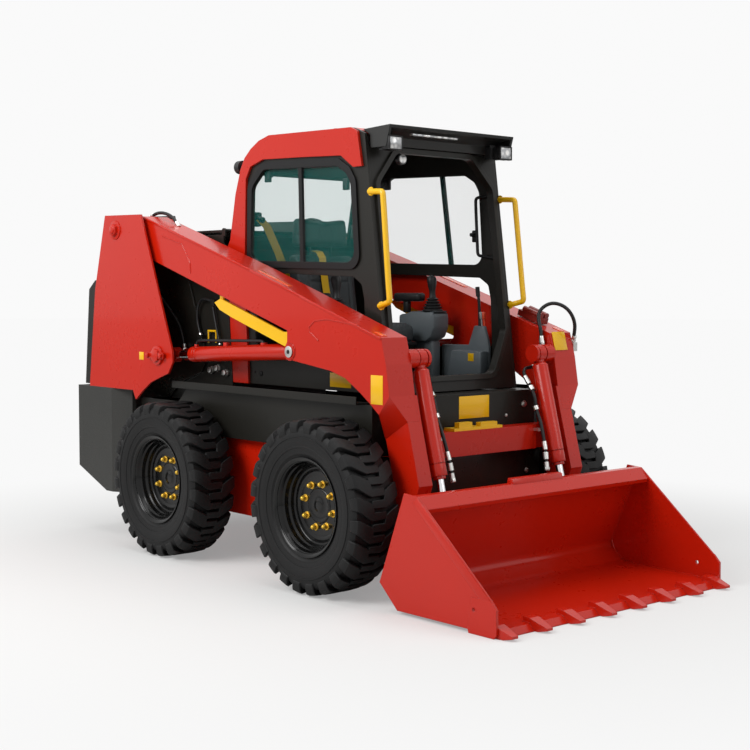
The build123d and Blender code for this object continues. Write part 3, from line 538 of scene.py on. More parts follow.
def faces_down(paint):
    """Mask of the faces that look down, which the roof's paint makes near black."""
    normal = paint.node("ShaderNodeTexCoord", out="Normal")
    return paint.node("ShaderNodeSeparateXYZ", inputs={0: normal}, out="Z") < -0.05


dress(red_machine_paint("roof_paint", (0.020, 0.020, 0.021), faces_down), "cab_roof")
black = Finish("black_plastic")
black_plastic = black.surface(
    Base_Color=(0.010, 0.010, 0.0105, 1), Roughness=0.36 + 0.15 * black.noise(50.0, 3.0),
    Specular_IOR_Level=0.3, Normal=black.bump(black.noise(500.0, 1.0), 0.0002, 0.003))
dress(machine_paint("visor_paint", (0.020, 0.020, 0.019), (0.016, 0.016, 0.0155), rough=0.32, coat=0.1), "visor")
seal = Finish("window_seal")
seal_rubber = seal.surface(Base_Color=(0.006, 0.006, 0.0065, 1), Roughness=0.42 + 0.1 * seal.noise(90.0, 2.0),
                           Specular_IOR_Level=0.25, Normal=seal.bump(seal.noise(300.0, 2.0), 0.0003, 0.004))
dress(seal_rubber, "window_frames")
pane = Finish("window_glass")
window_glass = pane.surface(Base_Color=(0.02, 0.29, 0.25, 1), Roughness=0.03,
                            Alpha=0.085 + 0.02 * pane.noise(1.5, 1.0), Specular_IOR_Level=0.5)
dress(window_glass, "cab_windows")

latches = bmesh.new()
# middle of each catch and half its size in X and Z: the right panes, then the left
for x, y, z, half_x, half_z in ((-0.262, -0.402, 1.930, 0.020, 0.030), (0.345, -0.402, 1.858, 0.018, 0.028),
                                (0.400, -0.402, 1.633, 0.014, 0.032), (-0.262, 0.402, 1.930, 0.020, 0.030),
                                (-0.330, 0.402, 1.669, 0.022, 0.026), (0.400, 0.402, 1.633, 0.014, 0.030)):
    add_block(latches, (x - half_x, y - 0.009, z - half_z), (x + half_x, y + 0.009, z + half_z), 0.004)
for side in SIDES:
    add_bar(latches, (0.400, side * 0.404, 1.640), (0.400, side * 0.372, 1.640), 0.010, sides=20, ease=0.002)
    add_bar(latches, (-0.262, side * 0.404, 1.935), (-0.262, side * 0.374, 1.935), 0.010, sides=20, ease=0.002)
add_block(latches, (-0.530, -0.345, 1.690), (-0.486, -0.270, 1.765), 0.010)
add_bar(latches, (-0.500, -0.300, 1.730), (-0.452, -0.288, 1.722), 0.019, 0.015, 24, 0.003)
add_block(latches, (0.430, -0.185, 2.012), (0.490, -0.125, 2.076), 0.006)
piece("cab_catches", latches, black_plastic, "chassis")
plugs = bmesh.new()
for side in SIDES:
    add_bar(plugs, (-0.294, side * 0.4255, 0.939), (-0.294, side * 0.429, 0.939), 0.013, sides=32, ease=0.001)
    add_bar(plugs, (-0.345, side * 0.4255, 0.945), (-0.345, side * 0.428, 0.945), 0.006, sides=20)
piece("cab_plugs", plugs, seal_rubber, "chassis")

lamp = Finish("lamp_case")
dress(lamp.surface(Base_Color=(0.010, 0.010, 0.0105, 1), Roughness=0.4,
                   Normal=lamp.bump(lamp.noise(200.0, 2.0), 0.0003, 0.002)), "work_lamps")
lens = Finish("lamp_lens_painted_glint")
# the lens's prism cells: their near-white centres are painted glints of caught light, and their rims are grey
cells = lens.node("ShaderNodeTexVoronoi", inputs={"Vector": lens.place, "Scale": 34.0}, out="Distance")
lamp_lens_painted_glint = lens.surface(Base_Color=lens.blend((0.95, 0.95, 0.92), (0.42, 0.43, 0.44), lens.ramp(cells, 0.25, 0.6)),
                         Roughness=0.14, Metallic=0.35, Coat_Weight=0.6, Coat_Roughness=0.02,
                         Normal=lens.bump(cells, 0.004))
lenses = bmesh.new()
bezels = bmesh.new()
for side in SIDES:
    y = side * 0.362
    add_block(lenses, (0.636, y - 0.037, 2.001), (0.649, y + 0.037, 2.057), 0.005)
    add_block(bezels, (0.596, y - 0.040, 1.998), (0.640, y + 0.040, 2.060), 0.006)
    for low, high in (((y - 0.042, 1.996), (y - 0.035, 2.062)), ((y + 0.035, 1.996), (y + 0.042, 2.062)),
                      ((y - 0.042, 1.996), (y + 0.042, 2.002)), ((y - 0.042, 2.056), (y + 0.042, 2.062))):
        add_block(bezels, (0.628, *low), (0.651, *high), 0.002)
    add_bar(lenses, (-0.517, side * 0.395, 1.990), (-0.5195, side * 0.395, 1.990), 0.029, sides=32)
add_bar(lenses, (0.466, -0.155, 1.982), (0.4695, -0.155, 1.982), 0.022, sides=32, ease=0.001)
add_block(lenses, (0.606, -0.238, 2.0725), (0.626, 0.053, 2.0815), 0.0015)
piece("lamp_lenses", lenses, lamp_lens_painted_glint, "chassis")
piece("lamp_bezels", bezels, black_plastic, "chassis")

eyes = bmesh.new()
for side in SIDES:
    for x, z in ((0.253, 2.1155), (-0.150, 2.124)):
        add_bar(eyes, (x, side * 0.385, z - 0.003), (x, side * 0.385, min(z + 0.009, 2.1268)), 0.013, sides=20,
                ease=0.001)
piece("roof_eyes", eyes, red_paint, "chassis")

# ---------------------------------------------------------------- grab handles
# Round bar bent cold and bolted on through welded feet: yellow on the two front
# pillars, and black on the left pillar inside.
def add_line(curve, points, radius):
    """Smooth line through the air along its control points."""
    line = curve.splines.new("NURBS")
    line.points.add(len(points) - 1)
    for knot, place in zip(line.points, points):
        knot.co = (*place, 1)
        knot.radius = radius * 1000
    line.order_u = 3
    line.use_endpoint_u = True
    line.resolution_u = 10


def line_piece(name, runs, finish, body, stands_for=()):
    """Round bars or hoses, each a radius and its control points."""
    curve = bpy.data.curves.new(name, "CURVE")
    curve.dimensions = "3D"
    curve.bevel_depth = 0.001
    curve.bevel_resolution = 6
    curve.use_fill_caps = True
    for radius, points in runs:
        add_line(curve, points, radius)
    curve.materials.append(finish)
    made = bpy.data.objects.new(name, curve)
    scene.collection.objects.link(made)
    return mount(made, body, stands_for)


def in_plane(y, line):
    """Points of a line in the side view, set at one Y."""
    return [(x, y, z) for x, z in line]


def pair(radius, points):
    """Two runs: one as given and its twin on the other side of the machine."""
    return [(radius, points), (radius, [(x, -y, z) for x, y, z in points])]


pillar_handle = [(0.540, 0.428, 1.812), (0.585, 0.432, 1.810), (0.618, 0.434, 1.808), (0.641, 0.435, 1.806),
                 (0.645, 0.4355, 1.770), (0.650, 0.436, 1.730), (0.688, 0.442, 1.390), (0.694, 0.4425, 1.345),
                 (0.698, 0.443, 1.308), (0.670, 0.440, 1.302), (0.645, 0.434, 1.295), (0.612, 0.428, 1.289)]
inside_handle = in_plane(0.396, [(0.518, 1.834), (0.450, 1.828), (0.410, 1.824), (0.410, 1.790), (0.424, 1.575),
                                 (0.427, 1.536), (0.465, 1.532), (0.562, 1.518)])
line_piece("pillar_handles", pair(0.0135, pillar_handle), yellow_paint, "chassis", ["grab_handles"])
line_piece("inside_handle", [(0.008, inside_handle)], black_plastic, "chassis", ["grab_handles"])
feet = bmesh.new()
for side in SIDES:
    for x, y, z in ((0.549, 0.428, 1.812), (0.622, 0.428, 1.290)):
        add_bar(feet, (x, side * 0.424, z), (x, side * 0.431, z), 0.021, 0.019, 28, 0.0015)
piece("handle_feet", feet, yellow_paint, "chassis")

# ---------------------------------------------------------------- seat
# A vinyl seat: crowned foam cushion, back and headrest sewn from panels, on a black
# steel base, with a yellow belt that comes off its reel behind the right shoulder.
vinyl = Finish("seat_vinyl")
grain = vinyl.node("ShaderNodeTexVoronoi", inputs={"Vector": vinyl.place, "Scale": 450.0}, out="Distance")
creases = vinyl.noise(9.0, 4.0, (1.0, 2.5, 1.0))
seat_vinyl = vinyl.surface(
    Base_Color=vinyl.blend((0.017, 0.022, 0.025), (0.030, 0.036, 0.039), vinyl.noise(6.0, 3.0)),
    Roughness=0.46 + 0.12 * grain, Specular_IOR_Level=0.4,
    Normal=vinyl.bump(grain + 3.0 * vinyl.ramp(creases, 0.5, 0.75), 0.0006))


def add_plate(shape, outline, near, far, ease=0.0):
    """Plate cut to an outline in the side view, from one Y to another."""
    face = shape.faces.new([shape.verts.new((x, near, z)) for x, z in outline])
    made = bmesh.ops.extrude_face_region(shape, geom=[face])["geom"]
    moved = [item for item in made if isinstance(item, bmesh.types.BMVert)]
    bmesh.ops.translate(shape, vec=(0, far - near, 0), verts=moved)
    faces = list(dict.fromkeys(item for vert in moved + face.verts[:] for item in vert.link_faces))
    bmesh.ops.recalc_face_normals(shape, faces=faces)
    if ease:
        ease_edges(shape, (edge for item in faces for edge in item.edges), ease)


FRAMES = 20  # of cloth simulation


def settled(made):
    """Mesh that an object's modifiers give; they are then taken off it."""
    mesh = bpy.data.meshes.new_from_object(made.evaluated_get(bpy.context.evaluated_depsgraph_get()))
    made.modifiers.clear()
    return mesh


def seat_pad(name, outline, half, grow, voxel, dish):
    """Cushion cut to a side outline, dished across its face, then blown up like foam in its cover."""
    shape = bmesh.new()
    add_plate(shape, outline, -half, half)
    ease_edges(shape, shape.edges, 0.018, 3)
    made = bpy.data.objects.new(name, as_mesh(name, shape))
    scene.collection.objects.link(made)
    made.modifiers.new("even", "REMESH").mode = "VOXEL"
    made.modifiers["even"].voxel_size = voxel
    bpy.context.view_layer.update()
    even = settled(made)
    made.data = even
    before = [v.co.copy() for v in even.vertices]
    cloth = made.modifiers.new("cover", "CLOTH")
    cloth.settings.use_pressure = True
    cloth.settings.uniform_pressure_force = 4.0
    cloth.settings.tension_stiffness = 25
    cloth.settings.compression_stiffness = 25
    cloth.settings.effector_weights.gravity = 0.0
    cloth.point_cache.frame_start = 1
    cloth.point_cache.frame_end = FRAMES
    for moment in range(1, FRAMES + 1):
        scene.frame_set(moment)
    blown = settled(made)
    after = [v.co.copy() for v in blown.vertices]
    scene.frame_set(1)
    for vert, old, new in zip(even.vertices, before, after):
        move = new - old
        vert.co = old + move.normalized() * min(move.length, grow)
    dish(even)
    fine = made.modifiers.new("fine", "SUBSURF")
    fine.levels = fine.render_levels = 1
    smooth = settled(made)
    made.data = smooth
    smooth.materials.clear()
    smooth.materials.append(seat_vinyl)
    smooth.shade_smooth()
    return mount(made, "chassis", ["seat"])


SEAM_WIDTH, SEAM_DEPTH = 0.008, 0.006


def groove(value, centre, width=SEAM_WIDTH):
    """Depth share of a sewn channel, from 1 on its seam to 0 beside it."""
    return max(0.0, 1.0 - abs(value - centre) / width) ** 0.7


def cushion_channels(mesh):
    """Thighs lie between raised sides; two seams run along, one across."""
    for vert in mesh.vertices:
        if vert.normal.z > 0.35:
            across = abs(vert.co.y)
            hollow = (1 - min(1.0, across / 0.16) ** 2) * (1 if vert.co.x < 0.12 else 0.5)
            seams = max(groove(across, 0.150), groove(vert.co.x, 0.045) * (across < 0.15))
            vert.co.z -= 0.010 * hollow + SEAM_DEPTH * seams


def back_channels(mesh):
    """A hollow for the spine between side bolsters, with seams down and across."""
    for vert in mesh.vertices:
        if vert.normal.x > 0.35:
            across = abs(vert.co.y)
            hollow = 1 - min(1.0, across / 0.13) ** 2
            seams = max(groove(across, 0.132), groove(vert.co.z, 1.405) * (across < 0.132))
            vert.co.x -= 0.014 * hollow + SEAM_DEPTH * seams


def head_channels(mesh):
    """The headrest is a plain pad with a seam round its face."""
    for vert in mesh.vertices:
        if vert.normal.x > 0.5:
            edge = max(abs(vert.co.y) / 0.135, abs(vert.co.z - 1.6585) / 0.058)
            vert.co.x -= 0.004 * groove(edge, 1.0, 0.09)


seat_pad("seat_cushion", [(-0.312, 1.098), (0.150, 1.098), (0.163, 1.112), (0.163, 1.168), (0.146, 1.184),
                          (-0.312, 1.184)], half=0.226, grow=0.012, voxel=0.008, dish=cushion_channels)
seat_pad("seat_back", [(-0.342, 1.188), (-0.246, 1.188), (-0.292, 1.528), (-0.314, 1.552), (-0.366, 1.552),
                       (-0.384, 1.500)], half=0.202, grow=0.012, voxel=0.008, dish=back_channels)
seat_pad("headrest", [(-0.386, 1.584), (-0.308, 1.584), (-0.306, 1.660), (-0.318, 1.732), (-0.376, 1.732),
                      (-0.386, 1.660)], half=0.164, grow=0.010, voxel=0.007, dish=head_channels)
# the suspension box stands on the floor, and every second fold of its boot is tucked in
base = bmesh.new()
add_block(base, (-0.295, -0.185, 0.898), (0.120, 0.185, 0.990), 0.006)
for k in range(5):
    low = 0.990 + 0.018 * k
    tuck = 0.004 * (k % 2)
    add_block(base, (-0.280 + tuck, -0.175 + tuck, low), (0.110 - tuck, 0.175 - tuck, low + 0.0185), 0.003)
add_block(base, (-0.318, -0.228, 1.080), (0.160, 0.228, 1.100), 0.006)
for side in SIDES:
    add_bar(base, (-0.345, side * 0.070, 1.540), (-0.345, side * 0.070, 1.600), 0.008, sides=20)
    add_block(base, (-0.345, side * 0.214 - 0.010, 1.100), (-0.255, side * 0.214 + 0.010, 1.235), 0.006)
piece("seat_base", base, black_plastic, "chassis", stands_for=["seat"])

webbing = Finish("belt_webbing")
ribs = webbing.node("ShaderNodeTexWave", {"wave_type": "BANDS", "bands_direction": "Z"},
                    {"Vector": webbing.place, "Scale": 90.0, "Distortion": 0.4}, out="Fac")
belt_yellow = webbing.surface(Base_Color=webbing.blend((0.85, 0.52, 0.006), (0.68, 0.38, 0.004), ribs),
                              Roughness=0.7, Normal=webbing.bump(ribs, 0.0004))


WEBBING = 0.0022  # its thickness


def add_strap(shape, points, across):
    """Flat webbing laid along points; across is its width as a vector."""
    across = Vector(across)
    spots = [Vector(p) for p in points]
    rows = []
    for k, spot in enumerate(spots):
        run = (spots[min(k + 1, len(spots) - 1)] - spots[max(k - 1, 0)]).normalized()
        face = run.cross(across).normalized() * WEBBING / 2
        corners = ((-1, -1), (1, -1), (1, 1), (-1, 1))
        rows.append([shape.verts.new(spot + a * across / 2 + b * face) for a, b in corners])
    for near, far in zip(rows, rows[1:]):
        for k in range(4):
            shape.faces.new((near[k], near[(k + 1) % 4], far[(k + 1) % 4], far[k]))
    shape.faces.new(rows[0][::-1])
    shape.faces.new(rows[-1])
    bmesh.ops.recalc_face_normals(shape, faces=shape.faces)


belt = bmesh.new()
add_strap(belt, [(-0.470, -0.300, 1.728), (-0.452, -0.268, 1.690), (-0.440, -0.205, 1.560), (-0.428, -0.160, 1.440),
                 (-0.415, -0.140, 1.330)], (0.010, 0.040, 0.012))
add_strap(belt, [(-0.345, -0.040, 1.568), (-0.302, -0.040, 1.560), (-0.276, -0.040, 1.530), (-0.270, -0.036, 1.460),
                 (-0.262, -0.030, 1.380), (-0.248, -0.022, 1.290), (-0.232, -0.012, 1.222), (-0.200, 0.000, 1.192),
                 (-0.150, 0.010, 1.188)], (0.0, 0.044, 0.004))
piece("seat_belt", belt, belt_yellow, "chassis", stands_for=["seat"])

# ---------------------------------------------------------------- consoles and controls
# Grey moulded consoles with black armrests beside the seat, ribbed bellows under the
# two control grips, and small levers at the front left.
console = Finish("console_plastic")
console_plastic = console.surface(
    Base_Color=console.blend((0.105, 0.125, 0.138), (0.130, 0.150, 0.160), console.noise(4.0, 2.0)),
    Roughness=0.42, Specular_IOR_Level=0.35, Normal=console.bump(console.noise(600.0, 1.0), 0.0003, 0.008))


def span(side, inner, outer):
    """From the lower Y to the higher one, on the right or the left side."""
    return sorted((side * inner, side * outer))


pods = bmesh.new()
for side in SIDES:
    add_plate(pods, [(-0.028, 1.097), (0.170, 1.097), (0.214, 1.120), (0.237, 1.170), (0.237, 1.235),
                     (0.222, 1.253), (0.060, 1.253), (0.020, 1.240), (-0.028, 1.236)], *span(side, 0.270, 0.383),
              0.014)
    add_block(pods, (0.105, side * 0.3265 - 0.046, 1.249), (0.235, side * 0.3265 + 0.046, 1.2550), 0.004)
    add_block(pods, (0.062, side * 0.330 - 0.029, 0.898), (0.198, side * 0.330 + 0.029, 1.100), 0.008)
    add_plate(pods, [(0.174, 0.899), (0.513, 0.899), (0.513, 1.080), (0.480, 1.183), (0.408, 1.183), (0.368, 1.085),
                     (0.174, 1.083)], *span(side, 0.390, 0.409), 0.006)
    add_plate(pods, [(0.262, 0.899), (0.513, 0.899), (0.513, 1.058), (0.302, 1.058)], *span(side, 0.332, 0.392),
              0.010)
piece("console_mouldings", pods, console_plastic, "chassis", stands_for=["consoles"])
rests = bmesh.new()
for side in SIDES:
    add_block(rests, (-0.090, side * 0.315 - 0.029, 1.303), (0.106, side * 0.315 + 0.029, 1.347), 0.014, segments=3)
    add_block(rests, (-0.028, side * 0.315 - 0.014, 1.245), (0.008, side * 0.315 + 0.014, 1.310), 0.005)
piece("armrests", rests, black_plastic, "chassis", stands_for=["consoles"])

GRIP_X, GRIP_Y = 0.179, 0.320
# radius, height: a flange, four folds of bellows that grow smaller, and the grip
grip_rings = [(0.0, 1.252), (0.052, 1.252), (0.054, 1.258), (0.052, 1.262)]
for k in range(4):
    radius, z = 0.042 - 0.006 * k, 1.266 + 0.014 * k
    grip_rings += [(radius, z), (radius, z + 0.002), (radius + 0.007, z + 0.006), (radius + 0.007, z + 0.010)]
grip_rings += [(0.019, 1.322), (0.0165, 1.336), (0.0155, 1.350), (0.0170, 1.362), (0.0215, 1.380), (0.0245, 1.402),
               (0.0240, 1.420), (0.0180, 1.433), (0.0, 1.436)]
grips = bmesh.new()
for side in SIDES:
    start = len(grips.verts)
    ring = [grips.verts.new((GRIP_X + r, side * GRIP_Y, z)) for r, z in grip_rings]
    edges = [grips.edges.new(ends) for ends in zip(ring, ring[1:])]
    bmesh.ops.spin(grips, geom=ring + edges, axis=(0, 0, 1), cent=(GRIP_X, side * GRIP_Y, 1.3), angle=2 * pi,
                   steps=36, use_merge=True)
    grips.verts.ensure_lookup_table()
    for vert in grips.verts[start:]:
        vert.co.x -= 0.07 * max(0.0, vert.co.z - 1.31)  # the grip leans back
    add_bar(grips, (0.172, side * 0.318, 1.418), (0.176, side * 0.318, 1.4375), 0.006, sides=16)
bmesh.ops.remove_doubles(grips, verts=grips.verts, dist=0.00005)
bmesh.ops.recalc_face_normals(grips, faces=grips.faces)
piece("control_grips", grips, black_plastic, "chassis", stands_for=["joysticks", "consoles"])
lever_rod = in_plane(0.399, [(0.440, 1.183), (0.438, 1.250), (0.434, 1.310), (0.424, 1.372)])
lever_grip = in_plane(0.399, [(0.428, 1.330), (0.426, 1.350), (0.422, 1.378)])
line_piece("tall_lever", [(0.0075, lever_rod), (0.011, lever_grip)], black_plastic, "chassis",
           ["consoles"])
knob = Finish("lever_colours")
red_end = knob.axis("X") > 0.463
small_levers = bmesh.new()
for x in (0.457, 0.475):
    add_bar(small_levers, (x, 0.399, 1.176), (x - 0.006, 0.399, 1.226), 0.0045, sides=14)
    add_bar(small_levers, (x - 0.005, 0.399, 1.216), (x - 0.009, 0.399, 1.252), 0.008, 0.0095, 20, 0.003)
piece("small_levers", small_levers,
      knob.surface(Base_Color=knob.blend((0.30, 0.31, 0.31), (0.75, 0.06, 0.01), red_end), Roughness=0.35,
                   Coat_Weight=0.2, Normal=knob.bump(knob.noise(300.0, 1.0), 0.0002)),
      "chassis", stands_for=["consoles"])

# ---------------------------------------------------------------- lift arms
# Box-section arms of welded plate with bosses at the pins, joined by a crossbeam
# that carries a yellow step; a yellow lock bar is stowed under each arm.
dress(red_paint, "arm_beams", "arm_legs", "arm_crossbeam")
dress(yellow_paint, "beam_step", "lock_bars")
blocks = Finish("valve_blocks")
painted = blocks.axis("Z") > 1.14
dress(blocks.surface(Base_Color=blocks.blend((0.60, 0.60, 0.58), (0.20, 0.012, 0.006), painted),
                     Metallic=1 - painted, Roughness=0.25 + 0.2 * blocks.noise(60.0, 3.0),
                     Normal=blocks.bump(blocks.noise(200.0, 1.0), 0.0001, 0.002)), "arm_fittings")


def add_weld(shape, points, radius):
    """Bead of weld along points: a round rope of short lumps sunk to half its depth."""
    for start, end in zip(points, points[1:]):
        start, end = Vector(start), Vector(end)
        add_bar(shape, start, end, radius, sides=8)
        bmesh.ops.create_icosphere(shape, subdivisions=1, radius=radius, matrix=Matrix.Translation(end))


def add_strip(shape, start, end, low, high, near, far):
    """Strip along a line in the side view, between two heights over that line."""
    start, end = Vector(start), Vector(end)
    along = (end - start).normalized()
    lift = Vector((-along.y, along.x))
    corners = [start + lift * low, end + lift * low, end + lift * high, start + lift * high]
    add_plate(shape, corners, near, far, 0.0008)


ARM_FACE = 0.6240
LIFT_BARREL_PIN = (0.199, 1.072)
ARM_TOP = [(-1.305, 1.758), (-1.076, 1.754), (-0.113, 1.464), (0.277, 1.339), (0.843, 1.154)]
REAR_SEAM = [(-0.889, 1.644), (-0.708, 1.599), (-0.660, 1.540), (-0.633, 1.499), (-0.629, 1.448)]
FORE_SEAM = [(0.412, 1.130), (0.350, 1.168), (0.342, 1.191), (0.386, 1.221), (0.473, 1.229), (0.689, 1.207)]
BOSS_SEAM = [(LIFT_BARREL_PIN[0] + 0.041 * cos(radians(a)), LIFT_BARREL_PIN[1] + 0.041 * sin(radians(a)))
             for a in range(0, 361, 20)]
trim = bmesh.new()
for side in SIDES:
    for seam, lift, bead in ((REAR_SEAM, 0, 0.0038), (FORE_SEAM, 0, 0.0038), (BOSS_SEAM, 0.0005, 0.0026)):
        add_weld(trim, in_plane((ARM_FACE + lift) * side, seam), bead)
    # the top plate stands a little proud of the side plate along its edge
    for start, end in zip(ARM_TOP, ARM_TOP[1:]):
        add_strip(trim, start, end, -0.0005, -0.0125, *span(side, ARM_FACE, ARM_FACE + 0.0030))
piece("arm_welds", trim, red_paint, "lift_arms")
reflectors = bmesh.new()
for side in SIDES:
    # which run of the arm's top, how far along it and how long
    for run, start, length in ((2, 0.03, 0.25), (3, 0.52, 0.055)):
        foot, head = Vector(ARM_TOP[run]), Vector(ARM_TOP[run + 1])
        along = (head - foot).normalized()
        add_strip(reflectors, foot + along * start, foot + along * (start + length), -0.001, 0.0025,
                  side * 0.585 - 0.014, side * 0.585 + 0.014)
shine = Finish("reflector_red")
dots = shine.node("ShaderNodeTexVoronoi", inputs={"Vector": shine.place, "Scale": 160.0}, out="Distance")
reflector_red = shine.surface(Base_Color=shine.blend((0.95, 0.14, 0.02), (0.70, 0.05, 0.01), dots),
                              Roughness=0.25, Coat_Weight=0.5, Normal=shine.bump(dots, 0.0008))
piece("arm_reflectors", reflectors, reflector_red, "lift_arms")
arm_plates = bmesh.new()
for side in SIDES:
    low, high = span(side, 0.6238, 0.6255)
    add_block(arm_plates, (0.777, low, 0.862), (0.856, high, 0.990), 0.0005)
tilted = Matrix.Rotation(radians(-15.4), 4, "Y")
add_block(arm_plates, (0.8556, 0.485, 1.069), (0.8588, 0.575, 1.161), 0.0005, tilted)
piece("arm_plates", arm_plates, yellow_paint, "lift_arms")
pins = bmesh.new()
centres = bmesh.new()
x, z = LIFT_BARREL_PIN
for side in SIDES:
    add_bar(pins, (x, 0.6305 * side, z), (x, 0.6355 * side, z), 0.0275, sides=40, ease=0.0015)
    add_bar(centres, (x, 0.634 * side, z), (x, 0.6375 * side, z), 0.010, sides=24, ease=0.001)
piece("arm_pin_washers", pins, zinc_plate, "lift_arms")
piece("arm_pin_centres", centres, black_plastic, "lift_arms")

# ---------------------------------------------------------------- hoses
# Black hydraulic hose with plated fittings: lines down the knees to the cylinders,
# a loop at each pivot, and short runs beside the towers.
hose = Finish("hose_rubber")
hose_rubber = hose.surface(Base_Color=hose.blend((0.0075, 0.0075, 0.008), (0.014, 0.014, 0.0145),
                                                 hose.noise(25.0, 3.0)), Roughness=0.42, Specular_IOR_Level=0.3,
                           Normal=hose.bump(hose.noise(350.0, 2.0), 0.0004))
KNEE_LINE = [(0.778, -0.472, 0.988), (0.778, -0.405, 0.990), (0.786, -0.345, 0.978), (0.822, -0.332, 0.930),
             (0.862, -0.330, 0.886), (0.882, -0.330, 0.842), (0.886, -0.330, 0.800), (0.904, -0.330, 0.762),
             (0.920, -0.329, 0.732), (0.950, -0.322, 0.640), (0.966, -0.316, 0.560), (0.976, -0.312, 0.514)]
KNEE_LOOP = [(0.813, 0.452, 1.096), (0.806, 0.452, 1.166), (0.778, 0.458, 1.232), (0.784, 0.475, 1.275),
             (0.824, 0.510, 1.304), (0.873, 0.550, 1.285), (0.892, 0.590, 1.234), (0.880, 0.622, 1.169),
             (0.846, 0.638, 1.105)]
PIVOT_LOOP = in_plane(0.520, [(-1.178, 1.752), (-1.128, 1.772), (-1.062, 1.778), (-0.985, 1.764), (-0.925, 1.732),
                              (-0.893, 1.696)])
THICK, MEDIUM, THIN = 0.009, 0.0085, 0.007  # radius of a hose
line_piece("arm_hose_runs", pair(MEDIUM, KNEE_LINE) + [(THICK, KNEE_LOOP)] + pair(THICK, PIVOT_LOOP), hose_rubber,
           "lift_arms", ["arm_hoses"])
TOWER_HOSE = in_plane(0.466, [(-1.220, 1.365), (-1.158, 1.322), (-1.062, 1.250), (-0.978, 1.178), (-0.936, 1.098),
                              (-0.926, 1.032)])
BAY_LOOP = in_plane(0.458, [(-0.655, 1.295), (-0.735, 1.319), (-0.800, 1.300), (-0.820, 1.230), (-0.804, 1.158),
                            (-0.775, 1.112)])
BAY_DROP = in_plane(0.458, [(-0.672, 1.288), (-0.652, 1.205), (-0.625, 1.130), (-0.601, 1.062)])
line_piece("bay_hose_runs", pair(THICK, TOWER_HOSE) + pair(THIN, BAY_LOOP) + pair(THIN, BAY_DROP), hose_rubber,
           "chassis", ["bay_hoses"])


def add_fitting(shape, start, end, radius):
    """Hose end: crimped sleeve from start, then a hexagon nut at the far end."""
    start, end = Vector(start), Vector(end)
    run = end - start
    add_bar(shape, start, start + run * 0.6, radius, sides=24, ease=0.0008)
    add_bar(shape, start + run * 0.55, end, radius * 1.22, sides=6, ease=0.0008)


arm_ends = bmesh.new()
for side in SIDES:
    add_fitting(arm_ends, (0.778, side * 0.420, 0.989), (0.778, side * 0.468, 0.988), 0.0112)
    add_fitting(arm_ends, (0.969, side * 0.3145, 0.545), (0.977, side * 0.3118, 0.508), 0.0112)
    add_fitting(arm_ends, (-0.914, side * 0.520, 1.722), (-0.893, side * 0.520, 1.694), 0.0112)
    add_fitting(arm_ends, (-1.140, side * 0.520, 1.767), (-1.180, side * 0.520, 1.750), 0.0112)
add_fitting(arm_ends, (0.8085, 0.452, 1.140), (0.8145, 0.452, 1.096), 0.0115)
add_fitting(arm_ends, (0.868, 0.629, 1.140), (0.848, 0.636, 1.106), 0.0115)
piece("arm_hose_ends", arm_ends, zinc_plate, "lift_arms", stands_for=["arm_hoses"])
bay_ends = bmesh.new()
for side in SIDES:
    add_fitting(bay_ends, (-0.930, side * 0.466, 1.072), (-0.926, side * 0.466, 1.032), 0.0112)
    add_fitting(bay_ends, (-1.190, side * 0.466, 1.344), (-1.222, side * 0.466, 1.366), 0.0112)
    add_fitting(bay_ends, (-0.789, side * 0.458, 1.132), (-0.775, side * 0.458, 1.110), 0.0092)
    add_fitting(bay_ends, (-0.609, side * 0.458, 1.082), (-0.601, side * 0.458, 1.060), 0.0092)
    for x, z in ((-0.700, 0.941), (-0.642, 0.954), (-0.570, 0.931)):
        add_bar(bay_ends, (x, side * 0.438, z), (x, side * 0.452, z), 0.020, sides=6, ease=0.0015)
        add_bar(bay_ends, (x, side * 0.450, z), (x, side * 0.466, z), 0.0155, sides=32, ease=0.0015)
piece("bay_hose_ends", bay_ends, zinc_plate, "chassis", stands_for=["bay_hoses"])

# ---------------------------------------------------------------- cylinders
# Red honed barrels with a ringed gland, welded eyes at both ends, polished chrome
# rods, and a black pipe along each lift barrel.
chrome = Finish("polished_rod")
rod_chrome = chrome.surface(Base_Color=(0.72, 0.72, 0.73, 1), Metallic=1.0,
                            Roughness=0.10 + 0.08 * chrome.noise(30.0, 2.0))


def add_turned(shape, start, end, section, steps=64):
    """Ring turned about the line from start to end; its section is (distance along, radius)."""
    ring = turned([(radius, 0, along) for along, radius in section], (0, 0, 1), steps)
    place = Matrix.Translation(start) @ (end - start).to_track_quat("Z", "Y").to_matrix().to_4x4()
    bmesh.ops.transform(ring, matrix=place, verts=ring.verts)
    shape.from_mesh(as_mesh("turned", ring))


def add_eye(shape, centre, radius, bore, half):
    """Eye welded to the end of a cylinder, bored for its pin along Y."""
    width, ease = 2 * half, 0.002
    section = [(0, bore), (0, radius - ease), (ease, radius), (width - ease, radius), (width, radius - ease),
               (width, bore)]
    add_turned(shape, centre - Vector((0, half, 0)), centre + Vector((0, half, 0)), section, 48)


EYE_HALF = 0.022  # half an eye's width along its pin


